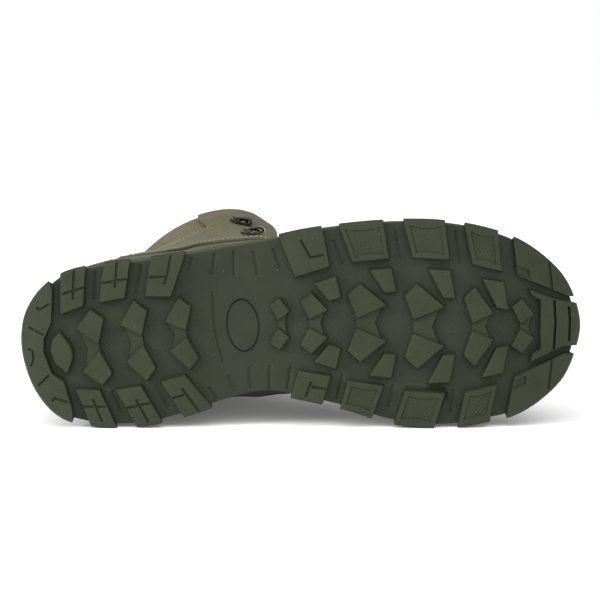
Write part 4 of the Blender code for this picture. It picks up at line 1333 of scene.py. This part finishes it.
def surface_frame(rib, lift, offset):
    """Place on the boot's side: X level round the boot, Y up the rib, Z outwards."""
    here = to_world(*upper_face(rib, lift, offset))
    outward = (to_world(*upper_face(rib, lift, offset + 1.0)) - here).normalized()
    up = to_world(*upper_face(rib, lift + STEP, offset)) - here
    up = (up - outward * up.dot(outward)).normalized()
    return set_at(here, up.cross(outward), up, outward)


def curve_through(points, steps):
    """Catmull-Rom points through a short open list, the ends included."""
    rows = [np.array(point) for point in points]
    rows = [2 * rows[0] - rows[1]] + rows + [2 * rows[-1] - rows[-2]]
    run = []
    for a, b, c, d in zip(rows, rows[1:], rows[2:], rows[3:]):
        for i in range(steps):
            t = i / steps
            run.append(b + 0.5 * t * (c - a + t * (2 * a - 5 * b + 4 * c - d + t * (3 * (b - c) + d - a))))
    return run + [rows[-2]]


def make_hook(name, rib, lift, side):
    """Stamped speed hook: a bent, tapering strip with a rivet through its base."""
    place = surface_frame(side * rib, lift, GAP + EYESTAY_THICK + HOOK_CLEAR)
    bend = curve_through(HOOK_BEND, HOOK_STEPS)
    bm = bmesh.new()
    grid = bmesh.ops.create_grid(bm, x_segments=len(bend) - 1, y_segments=HOOK_ACROSS, size=0.5)["verts"]
    for vertex in grid:
        ahead, away, wide = bend[round((vertex.co.x + 0.5) * (len(bend) - 1))]
        across = vertex.co.y * HOOK_WIDTH * wide
        vertex.co = place @ (Vector((side * ahead, across, away)) * MM)
    bmesh.ops.recalc_face_normals(bm, faces=bm.faces)
    hook = new_piece(name, bm)
    thick = hook.modifiers.new("metal", "SOLIDIFY")
    thick.thickness = HOOK_METAL * MM
    thick.offset = 0.0
    thick.use_even_offset = True
    edges = hook.modifiers.new("edges", "BEVEL")
    edges.width = HOOK_EDGE * MM
    edges.segments = HOOK_EDGE_STEPS
    edges.angle_limit = HOOK_EDGE_ANGLE
    rivet = bmesh.new()
    head = ball(rivet, RIVET_SIDES, RIVET_RADIUS)
    bmesh.ops.scale(rivet, vec=(1.0, 1.0, RIVET_HEIGHT / RIVET_RADIUS), verts=head)
    seat = Vector((RIVET_AHEAD * side, 0.0, HOOK_BASE + HOOK_METAL / 2)) * MM
    bmesh.ops.translate(rivet, vec=seat, verts=head)
    bmesh.ops.transform(rivet, matrix=place, verts=head)
    return hook, new_piece(name + "_rivet", rivet)


def eyelet_lift(rib, side, offset):
    """Level a set distance back from the throat's edge, along the rib."""
    lift = 1.0
    edge = upper_face(side * rib, 1.0, offset)
    while np.linalg.norm(upper_face(side * rib, lift, offset) - edge) < EYELET_BACK:
        lift -= EYELET_STEP
    return lift


def make_eyelet(name, rib, side):
    """Rolled metal ring on the overlay."""
    offset = GAP + EYESTAY_THICK + EYELET_CLEAR + EYELET_WIRE
    place = surface_frame(side * rib, eyelet_lift(rib, side, offset), offset)
    bm = bmesh.new()
    grid = bmesh.ops.create_grid(
        bm, x_segments=EYELET_SIDES, y_segments=EYELET_WIRE_SIDES, size=pi)["verts"]
    for vertex in grid:
        turn, roll = vertex.co.x, vertex.co.y
        reach = EYELET_RING + EYELET_WIRE * cos(roll)
        rise = EYELET_WIRE * sin(roll) * (1.0 if sin(roll) > 0 else EYELET_BARREL)
        vertex.co = place @ (Vector((reach * cos(turn), reach * sin(turn), rise)) * MM)
    return new_piece(name, welded(bm))


def lace_end(rib, side):
    """Lace over an eyelet: its place, its way to the throat and its way out of the leather."""
    offset = GAP + EYESTAY_THICK + EYELET_CLEAR + 2 * EYELET_WIRE + LACE_CLEAR + LACE_RADIUS
    lift = eyelet_lift(rib, side, offset)
    here = upper_face(side * rib, lift, offset)
    inwards = upper_face(side * rib, lift + LACE_STEP, offset) - here
    return here, inwards / np.linalg.norm(inwards), upper_normal(side * rib, lift)


def lace_path(start, end):
    """Crossing of the lace: up through one eyelet, over the throat and down the other."""
    (first, first_way, first_up), (last, last_way, last_up) = start, end
    pull = LACE_PULL * np.linalg.norm(last - first)
    guides = (first, first + pull * first_way, last + pull * last_way, last)
    over = [bezier(i / LACE_SPOTS, *guides) for i in range(1, LACE_SPOTS)]
    dive_first = [first - share * LACE_DIVE * first_up for share in (1.0, LACE_NECK)]
    dive_last = [last - share * LACE_DIVE * last_up for share in (LACE_NECK, 1.0)]
    return curve_through(dive_first + over + dive_last, LACE_STEPS // LACE_SPOTS)


def lace_tube(bm, path):
    """Flattened round cord along a path, closed at both ends."""
    rings = []
    for i, point in enumerate(path):
        ahead = path[min(i + 1, len(path) - 1)] - path[max(i - 1, 0)]
        ahead /= np.linalg.norm(ahead)
        side = np.cross(ahead, LACE_LEAN)
        side /= np.linalg.norm(side)
        up = np.cross(side, ahead)
        turns = [2 * pi * k / LACE_SIDES for k in range(LACE_SIDES)]
        rings.append([point + LACE_RADIUS * (cos(a) * side + LACE_FLAT * sin(a) * up) for a in turns])
    poured(bm, block(rings, mapped=True))


def make_lace():
    """Crossings of the lace, each up and down through its eyelets."""
    ends = {side: [lace_end(rib, side) for rib in EYELET_RIBS] for side in (1, -1)}
    bm = bmesh.new()
    for side in (1, -1):
        for lower, upper in zip(ends[side][1:], ends[-side][:-1]):
            lace_tube(bm, lace_path(lower, upper))
    lace_tube(bm, lace_path(ends[1][-1], ends[-1][-1]))
    return new_piece("lace_cord", bm)


class Finish:
    """Material with a Principled shader, and short ways to add and join its nodes."""

    def __init__(self, name):
        self.material = bpy.data.materials.new(name)
        self.material.use_nodes = True
        self.tree = self.material.node_tree
        self.shader = self.tree.nodes["Principled BSDF"]

    def set(self, **sockets):
        for name, value in sockets.items():
            self.shader.inputs[name.replace("_", " ").title().replace("Ior", "IOR")].default_value = value

    def to(self, socket, output):
        self.tree.links.new(output, self.shader.inputs[socket])

    def node(self, kind, settings=None, **inputs):
        return add_node(self.tree, kind, settings, **inputs)

    def place(self):
        """Object coordinates in millimetres."""
        return self.node("VectorMath", {"operation": "SCALE"}, _0=self.node("TexCoord").outputs["Object"],
                         Scale=1000.0).outputs[0]

    def attribute(self, name):
        return self.node("Attribute", {"attribute_name": name}).outputs["Fac"]

    def effect(self, group, output, **inputs):
        """Value that an effect's node group gives here."""
        made = self.tree.nodes.new("ShaderNodeGroup")
        made.node_tree = group
        fill_inputs(self.tree, made, inputs)
        return made.outputs[output]

    def cloud(self, place, size):
        """Cloudy tone of a size in millimetres, mostly between the two ends of CLOUD_RANGE."""
        return self.effect(mottle(), "Tone", Place=place, Size=size)

    def woven(self, across, up, pitch):
        """Height and tone of a weave, from the lengths across and up."""
        given = {"Across": across, "Up": up, "Pitch": pitch}
        return [self.effect(weave(), output, **given) for output in ("Height", "Tone")]

    def unwrapped(self):
        """The two coordinates of the piece's UV map."""
        return self.node("SeparateXYZ", Vector=self.node("UVMap", {"uv_map": "UVMap"}).outputs[0]).outputs

    def maths(self, operation, first, second=0.0):
        return maths(self.tree, operation, first, second)

    def times(self, first, second):
        return self.maths("MULTIPLY", first, second)

    def ramp(self, value, low, high, to_low=0.0, to_high=1.0):
        """Smooth step of a value between two limits, from one result to another."""
        return self.node("MapRange", {"interpolation_type": "SMOOTHSTEP"}, Value=value, From_Min=low,
                         From_Max=high, To_Min=to_low, To_Max=to_high).outputs[0]

    def mix(self, share, first, second):
        return self.node("Mix", {"data_type": "RGBA"}, _0=share, _6=first, _7=second).outputs[2]

    def scaled(self, tone, by):
        """Colour, or a plain tone, made lighter or darker by a varying value."""
        tone = tone if isinstance(tone, bpy.types.NodeSocket) else tone[:3]
        return self.node("VectorMath", {"operation": "SCALE"}, _0=tone, Scale=by).outputs[0]

    def varied(self, tone, cloud, low, high):
        """Colour made darker and lighter by a cloud."""
        return self.scaled(tone, self.ramp(cloud, *CLOUD_RANGE, low, high))

    def relief(self, *layers):
        """Normal from layers of height, each with its depth in millimetres."""
        total = None
        for height, depth in layers:
            layer = self.times(height, depth)
            total = layer if total is None else self.maths("ADD", total, layer)
        self.to("Normal", self.node("Bump", Height=total, Distance=MM).outputs[0])


def fill_inputs(tree, made, inputs):
    """Gives a node's inputs their values or links them to another node's output."""
    for name, value in inputs.items():
        socket = made.inputs[int(name[1:])] if name[1:].isdigit() else made.inputs[name.replace("_", " ")]
        if isinstance(value, bpy.types.NodeSocket):
            tree.links.new(value, socket)
        else:
            socket.default_value = value


def add_node(tree, kind, settings=None, **inputs):
    """Node with its settings; an input is a value or another node's output."""
    made = tree.nodes.new("ShaderNode" + kind)
    for name, value in (settings or {}).items():
        setattr(made, name, value)
    fill_inputs(tree, made, inputs)
    return made


def maths(tree, operation, first, second=0.0):
    """Result of a sum in a node tree."""
    return add_node(tree, "Math", {"operation": operation}, _0=first, _1=second).outputs[0]


def colour(red, green, blue):
    """Screen colour from 0 to 255 as a linear colour."""
    def linear(c):
        c /= 255.0
        return c / 12.92 if c <= 0.04045 else ((c + 0.055) / 1.055) ** 2.4
    return (linear(red), linear(green), linear(blue), 1.0)


def new_effect(name, given, results):
    """Empty node group with named inputs and outputs of its kinds."""
    tree = bpy.data.node_groups.new(name, "ShaderNodeTree")
    for socket, kind in given.items():
        tree.interface.new_socket(socket, in_out="INPUT", socket_type="NodeSocket" + kind)
    for socket in results:
        tree.interface.new_socket(socket, in_out="OUTPUT", socket_type="NodeSocketFloat")
    return tree, tree.nodes.new("NodeGroupInput").outputs, tree.nodes.new("NodeGroupOutput").inputs


@lru_cache(maxsize=None)
def mottle():
    """Cloudy tone of a size in millimetres."""
    tree, given, result = new_effect("mottle", {"Place": "Vector", "Size": "Float"}, ["Tone"])
    spot = add_node(tree, "VectorMath", {"operation": "DIVIDE"}, _0=given["Place"], _1=given["Size"])
    cloud = add_node(tree, "TexNoise", Vector=spot.outputs[0], Scale=1.0, Detail=4.0, Roughness=0.6)
    tree.links.new(cloud.outputs[0], result["Tone"])
    return tree


@lru_cache(maxsize=None)
def specks():
    """Sparse round specks: spacing in millimetres, radius as a share of it, share left out."""
    tree, given, result = new_effect(
        "specks", {"Place": "Vector", "Spacing": "Float", "Radius": "Float", "Left Out": "Float"}, ["Mask"])
    spot = add_node(tree, "VectorMath", {"operation": "DIVIDE"}, _0=given["Place"], _1=given["Spacing"])
    cells = add_node(tree, "TexVoronoi", Vector=spot.outputs[0], Scale=1.0)
    close = maths(tree, "LESS_THAN", cells.outputs["Distance"], given["Radius"])
    luck = add_node(tree, "SeparateColor", Color=cells.outputs["Color"])
    chosen = maths(tree, "GREATER_THAN", luck.outputs[0], given["Left Out"])
    tree.links.new(maths(tree, "MULTIPLY", close, chosen), result["Mask"])
    return tree


@lru_cache(maxsize=None)
def grain():
    """Leather grain: small cells with soft valleys between them."""
    tree, given, result = new_effect("grain", {"Place": "Vector", "Size": "Float"}, ["Height"])
    spot = add_node(tree, "VectorMath", {"operation": "DIVIDE"}, _0=given["Place"], _1=given["Size"])
    cells = add_node(tree, "TexVoronoi", {"feature": "SMOOTH_F1"}, Vector=spot.outputs[0], Scale=1.0)
    nap = add_node(tree, "TexNoise", Vector=spot.outputs[0], Scale=2.2, Detail=3.0)
    deep = maths(tree, "SUBTRACT", nap.outputs[0], cells.outputs["Distance"])
    tree.links.new(deep, result["Height"])
    return tree


@lru_cache(maxsize=None)
def weave():
    """Plain weave of round yarns: height, and a tone that differs from yarn to yarn."""
    tree, given, result = new_effect(
        "weave", {"Across": "Float", "Up": "Float", "Pitch": "Float"}, ["Height", "Tone"])
    calc = partial(maths, tree)
    axes = [calc("DIVIDE", given[name], given["Pitch"]) for name in ("Across", "Up")]
    yarns = [calc("ABSOLUTE", calc("SINE", calc("MULTIPLY", axis, pi))) for axis in axes]
    rows = [calc("FLOOR", axis) for axis in axes]
    # an even number of rows is added, so that the remainder is never below zero
    over = calc("MODULO", calc("ADD", calc("ADD", *rows), 2000.0), 2.0)
    height = add_node(tree, "Mix", _0=over, _2=yarns[0], _3=yarns[1]).outputs[0]
    thread = add_node(tree, "Mix", _0=over, _2=rows[0], _3=calc("ADD", rows[1], 0.5)).outputs[0]
    luck = add_node(tree, "TexWhiteNoise", {"noise_dimensions": "1D"}, W=thread)
    tree.links.new(height, result["Height"])
    tree.links.new(luck.outputs["Value"], result["Tone"])
    return tree


def hatch(finish, place):
    """Fine hatching on the tread's floor, slanted one way on the heel and the other on the forefoot."""
    parts = finish.node("SeparateXYZ", Vector=place).outputs
    along = finish.maths("SUBTRACT", parts[0], LYING_PLACE.x / MM)
    out = finish.maths("SUBTRACT", parts[2], LYING_PLACE.z / MM)
    behind = finish.maths("MAXIMUM", finish.maths("SUBTRACT", HEEL_SWING_FROM, along))
    swing = finish.times(behind, HEEL_SWING_SLOPE)
    off_centre = finish.maths("ABSOLUTE", finish.maths("ADD", out, swing))
    heel = finish.maths("LESS_THAN", along, HEEL_SWING_FROM)
    slant = finish.node("Mix", _0=heel, _2=HATCH_SLANT[1], _3=HATCH_SLANT[0]).outputs[0]
    across = finish.maths("ADD", finish.times(along, HATCH_ALONG), finish.times(out, slant))
    lines = finish.maths("SINE", finish.times(across, 2.0 * pi / HATCH_PITCH))
    zones = []
    for low, high in HATCH_LENGTHS:
        past, before = finish.maths("GREATER_THAN", along, low), finish.maths("LESS_THAN", along, high)
        zones.append(finish.times(past, before))
    near = finish.ramp(off_centre, HATCH_HALF, HATCH_HALF - 1.0)
    return finish.times(lines, finish.times(finish.maths("ADD", *zones), near))


def rubber():
    """Moulded olive rubber: hatched floors between the lugs, painted darker as shade in the recesses, and
    light specks.
    """
    finish = Finish("outsole_rubber")
    finish.set(specular_ior_level=0.2)
    place, depth = finish.place(), finish.attribute("depth")
    # Painted shade: the depth mask gives the recessed floors between the lugs a darker colour than the
    # lugs' faces.
    floor = finish.ramp(depth, 0.45, 0.95)
    cloud = finish.cloud(place, 16.0)
    fine = finish.cloud(place, 1.0)
    tone = finish.mix(floor, colour(41, 45, 31), colour(36, 40, 28))
    tone = finish.varied(tone, cloud, 0.90, 1.10)
    tone = finish.varied(tone, fine, 0.92, 1.08)
    speck = finish.effect(specks(), "Mask", Place=place, Spacing=6.0, Radius=0.055, Left_Out=0.72)
    tone = finish.mix(finish.times(speck, 0.2), tone, colour(150, 150, 132))
    finish.to("Base Color", tone)
    finish.to("Roughness", finish.ramp(fine, 0.25, 0.75, 0.50, 0.68))
    lines = finish.times(hatch(finish, place), finish.ramp(depth, 0.85, 0.95))
    finish.relief((fine, 0.10), (cloud, 0.12), (lines, 0.07))
    return finish.material


def midsole_foam():
    """Moulded wedge with a fine stipple and a few painted glints."""
    finish = Finish("midsole_rubber")
    finish.set(specular_ior_level=0.2)
    place = finish.place()
    cloud = finish.cloud(place, 20.0)
    stipple = finish.cloud(place, 0.7)
    tone = finish.varied(colour(56, 60, 45), cloud, 0.92, 1.08)
    # Painted glints: sparse bright specks in the colour stand in for small highlights.
    bright = finish.effect(specks(), "Mask", Place=place, Spacing=2.2, Radius=0.16, Left_Out=0.6)
    finish.to("Base Color", finish.mix(finish.times(bright, 0.3), tone, colour(120, 122, 100)))
    finish.to("Roughness", finish.ramp(stipple, *CLOUD_RANGE, 0.55, 0.75))
    finish.relief((stipple, 0.25))
    return finish.material


def upper_cover():
    """Textile round the back of the shaft, suede below and in front, and a knitted lining inside."""
    finish = Finish("upper_leather")
    finish.set(specular_ior_level=0.15, sheen_weight=0.05)
    place = finish.place()
    spot = finish.unwrapped()
    rib = finish.times(spot[0], RIBS_ROUND)
    row = finish.times(spot[1], UPPER_ROWS_ROUND)
    back = finish.maths("MINIMUM", rib, finish.maths("SUBTRACT", RIBS_ROUND, rib))
    inside = finish.maths("GREATER_THAN", row, UPPER_ROWS + 0.5 * UPPER_RIM_ROWS)
    above = finish.maths("GREATER_THAN", row, COUNTER_LEVEL * UPPER_ROWS)
    textile = finish.times(above, finish.maths("LESS_THAN", back, TEXTILE_TO_RIB))
    woven = finish.maths("MAXIMUM", textile, inside)
    yarn, thread = finish.woven(finish.times(rib, RIB_RUN), finish.times(row, LEVEL_RUN / UPPER_ROWS), 0.75)
    cloud = finish.cloud(place, 18.0)
    nap = finish.cloud(place, 1.3)
    cells = finish.effect(grain(), "Height", Place=place, Size=1.1)
    suede = finish.varied(colour(66, 69, 52), nap, 0.90, 1.10)
    cloth_tone = finish.mix(inside, colour(95, 90, 68), colour(52, 51, 43))
    cloth_tone = finish.scaled(cloth_tone, finish.ramp(thread, 0.0, 1.0, 0.91, 1.08))
    # Painted shade: the cloth is darker in the hollows between the yarns.
    cloth_tone = finish.scaled(cloth_tone, finish.ramp(yarn, 0.0, 0.7, 0.78, 1.0))
    tone = finish.mix(woven, suede, cloth_tone)
    finish.to("Base Color", finish.varied(tone, cloud, 0.92, 1.08))
    finish.to("Roughness", finish.ramp(nap, *CLOUD_RANGE, 0.78, 0.95))
    plain_part = finish.maths("SUBTRACT", 1.0, woven)
    finish.relief((finish.times(yarn, woven), 0.22), (finish.times(cells, plain_part), 0.14), (nap, 0.06))
    return finish.material


def overlay_leather():
    """Khaki nubuck with a soft nap and fine grain; its edges are painted darker as shade."""
    finish = Finish("eyestay_leather")
    finish.set(specular_ior_level=0.15, sheen_weight=0.05)
    place = finish.place()
    up = finish.attribute("up")
    # Mask of the overlay's low and high edges, where the colour gets painted shade.
    edge = finish.maths("MINIMUM", up, finish.maths("SUBTRACT", 1.0, up))
    cloud = finish.cloud(place, 15.0)
    nap = finish.cloud(place, 1.6)
    cells = finish.effect(grain(), "Height", Place=place, Size=0.9)
    tone = finish.varied(colour(83, 81, 59), cloud, 0.90, 1.10)
    tone = finish.varied(tone, nap, 0.93, 1.07)
    # Painted shade: the colour is darkened along the edges, where the edge walls fall into shadow.
    finish.to("Base Color", finish.scaled(tone, finish.ramp(edge, 0.0, 0.02, 0.72, 1.0)))
    finish.to("Roughness", finish.ramp(nap, *CLOUD_RANGE, 0.70, 0.88))
    finish.relief((cells, 0.10), (nap, 0.08), (cloud, 0.15))
    return finish.material


def tongue_fabric():
    """Padded tongue: a coarse weave with a soft shade in its channels."""
    finish = Finish("tongue_fabric")
    finish.set(specular_ior_level=0.2, sheen_weight=0.2)
    width, length = TONGUE_CLOTH
    across = finish.times(finish.attribute("across"), width)
    up = finish.times(finish.attribute("up"), length)
    yarn, thread = finish.woven(across, up, 1.0)
    cloud = finish.cloud(finish.place(), 14.0)
    tone = finish.scaled(colour(82, 78, 60), finish.ramp(thread, 0.0, 1.0, 0.86, 1.12))
    finish.to("Base Color", finish.varied(tone, cloud, 0.90, 1.08))
    finish.to("Roughness", finish.ramp(yarn, 0.0, 1.0, 0.95, 0.80))
    finish.relief((yarn, 0.25))
    return finish.material


def foot_bed():
    """Felted foot bed with small sunk dots."""
    finish = Finish("foot_bed")
    finish.set(specular_ior_level=0.15)
    place = finish.place()
    felt = finish.cloud(place, 0.9)
    dots = finish.effect(specks(), "Mask", Place=place, Spacing=4.0, Radius=0.22, Left_Out=0.0)
    tone = finish.varied(colour(58, 58, 52), felt, 0.80, 1.20)
    finish.to("Base Color", finish.mix(finish.times(dots, 0.5), tone, colour(34, 34, 31)))
    finish.to("Roughness", finish.ramp(felt, *CLOUD_RANGE, 0.85, 1.0))
    finish.relief((felt, 0.25), (dots, -0.4))
    return finish.material


def gunmetal():
    """Dark plated metal with a fine brushed grain and rubbed spots."""
    finish = Finish("gunmetal")
    finish.set(metallic=0.9)
    place = finish.place()
    rubbed = finish.cloud(place, 2.5)
    fine = finish.cloud(place, 0.35)
    tone = finish.mix(finish.ramp(rubbed, 0.45, 0.75), colour(52, 50, 46), colour(96, 94, 88))
    finish.to("Base Color", tone)
    finish.to("Roughness", finish.ramp(rubbed, *CLOUD_RANGE, 0.18, 0.32))
    finish.relief((fine, 0.02))
    return finish.material


def lace_cord():
    """Braided cord: two families of yarns that cross round it."""
    finish = Finish("lace_cord")
    finish.set(specular_ior_level=0.25)
    spot = finish.unwrapped()
    turn, run = finish.times(spot[0], LACE_YARNS), finish.times(spot[1], LACE_TURNS)
    yarn, thread = finish.woven(finish.maths("ADD", turn, run), finish.maths("SUBTRACT", turn, run), 1.0)
    tone = finish.scaled(colour(70, 70, 52), finish.ramp(thread, 0.0, 1.0, 0.80, 1.16))
    # Painted shade: the cord is darker in the hollows between the yarns.
    finish.to("Base Color", finish.scaled(tone, finish.ramp(yarn, 0.0, 0.8, 0.70, 1.0)))
    finish.to("Roughness", finish.ramp(yarn, 0.0, 1.0, 0.95, 0.75))
    finish.relief((yarn, 0.3))
    return finish.material


def sewing_thread():
    """Waxed thread, a little lighter than the leather."""
    finish = Finish("sewing_thread")
    finish.set(specular_ior_level=0.3)
    fibre = finish.cloud(finish.place(), 0.5)
    finish.to("Base Color", finish.varied(colour(118, 117, 100), fibre, 0.82, 1.12))
    finish.to("Roughness", finish.ramp(fibre, *CLOUD_RANGE, 0.60, 0.80))
    finish.relief((fibre, 0.1))
    return finish.material


def light(name, place, target, size, energy):
    lamp = bpy.data.lights.new(name, "AREA")
    lamp.shape = "RECTANGLE"
    lamp.size = lamp.size_y = size
    lamp.energy = energy
    made = bpy.data.objects.new(name, lamp)
    made.location = place
    made.rotation_euler = (Vector(target) - Vector(place)).to_track_quat("-Z", "Y").to_euler()
    bpy.context.scene.collection.objects.link(made)


def make_stage():
    """White floor in a bright room, a wide soft light from above and a key from the left."""
    bm = bmesh.new()
    bmesh.ops.create_grid(bm, x_segments=1, y_segments=1, size=FLOOR_HALF)
    floor = new_piece("floor", bm)
    finish = Finish("floor_white")
    finish.set(base_color=FLOOR_WHITE, roughness=1.0, specular_ior_level=0.0,
               emission_color=(1.0, 1.0, 1.0, 1.0), emission_strength=FLOOR_GLOW)
    floor.data.materials.append(finish.material)
    room = bpy.data.worlds.new("studio")
    room.use_nodes = True
    background = room.node_tree.nodes["Background"]
    background.inputs["Color"].default_value = (1.0, 1.0, 1.0, 1.0)
    seen = add_node(room.node_tree, "LightPath").outputs["Is Camera Ray"]
    strength = add_node(room.node_tree, "MapRange", Value=seen, To_Min=ROOM_LIGHT, To_Max=1.0)
    room.node_tree.links.new(strength.outputs[0], background.inputs["Strength"])
    bpy.context.scene.world = room
    above = bpy.data.lights.new("above", "SUN")
    above.energy = ABOVE_ENERGY
    above.angle = ABOVE_ANGLE
    sun = bpy.data.objects.new("above", above)
    sun.rotation_euler = (ABOVE_LEAN, 0.0, 0.0)
    bpy.context.scene.collection.objects.link(sun)
    light("key", KEY_PLACE, KEY_TARGET, KEY_SIZE, KEY_ENERGY)
    bpy.context.scene.view_settings.view_transform = "Standard"


def make_camera():
    lens = bpy.data.cameras.new("camera")
    lens.sensor_width = SENSOR_WIDTH
    lens.lens = SENSOR_WIDTH * CAMERA_DISTANCE / FRAME_WIDTH
    made = bpy.data.objects.new("camera", lens)
    away = Vector((0.0, -cos(CAMERA_ELEVATION), sin(CAMERA_ELEVATION)))
    made.location = CAMERA_TARGET + CAMERA_DISTANCE * away
    made.rotation_euler = (-away).to_track_quat("-Z", "Y").to_euler()
    bpy.context.scene.collection.objects.link(made)
    bpy.context.scene.camera = made


def main():
    make_camera()
    make_stage()
    dress(make_outsole(), rubber(), "outsole_rubber", "outsole")
    midsole = new_piece("midsole_wall", sole_layer(MIDSOLE_RINGS, DECK, FEATHER, GAP))
    dress(midsole, midsole_foam(), "midsole_rubber", "midsole")
    dress(make_insole(), foot_bed(), "foot_bed", "insole")
    dress(make_upper(), upper_cover(), "upper_leather", "upper")
    tongue = dress(make_tongue(), tongue_fabric(), "tongue_fabric", "tongue")
    metal, leather, thread = gunmetal(), overlay_leather(), sewing_thread()
    for side_name, side in (("lateral", 1), ("medial", -1)):
        dress(make_eyestay(side_name, side), leather, "eyestay_leather", "eyestay_" + side_name)
        dress(make_thread(side_name, side), thread, "lace_cord")
        for number, (rib, lift) in enumerate(HOOK_PLACES, 1):
            node = f"hook_{side_name}_{number}"
            hook, rivet = make_hook("speed_" + node, rib, lift, side)
            dress(hook, metal, "gunmetal", node)
            dress(rivet, metal, "gunmetal")
        for number, rib in enumerate(EYELET_RIBS, 1):
            node = f"eyelet_{side_name}_{number}"
            dress(make_eyelet("rolled_" + node, rib, side), metal, "gunmetal", node)
    dress(make_lace(), lace_cord(), "lace_cord", "lace")


main()
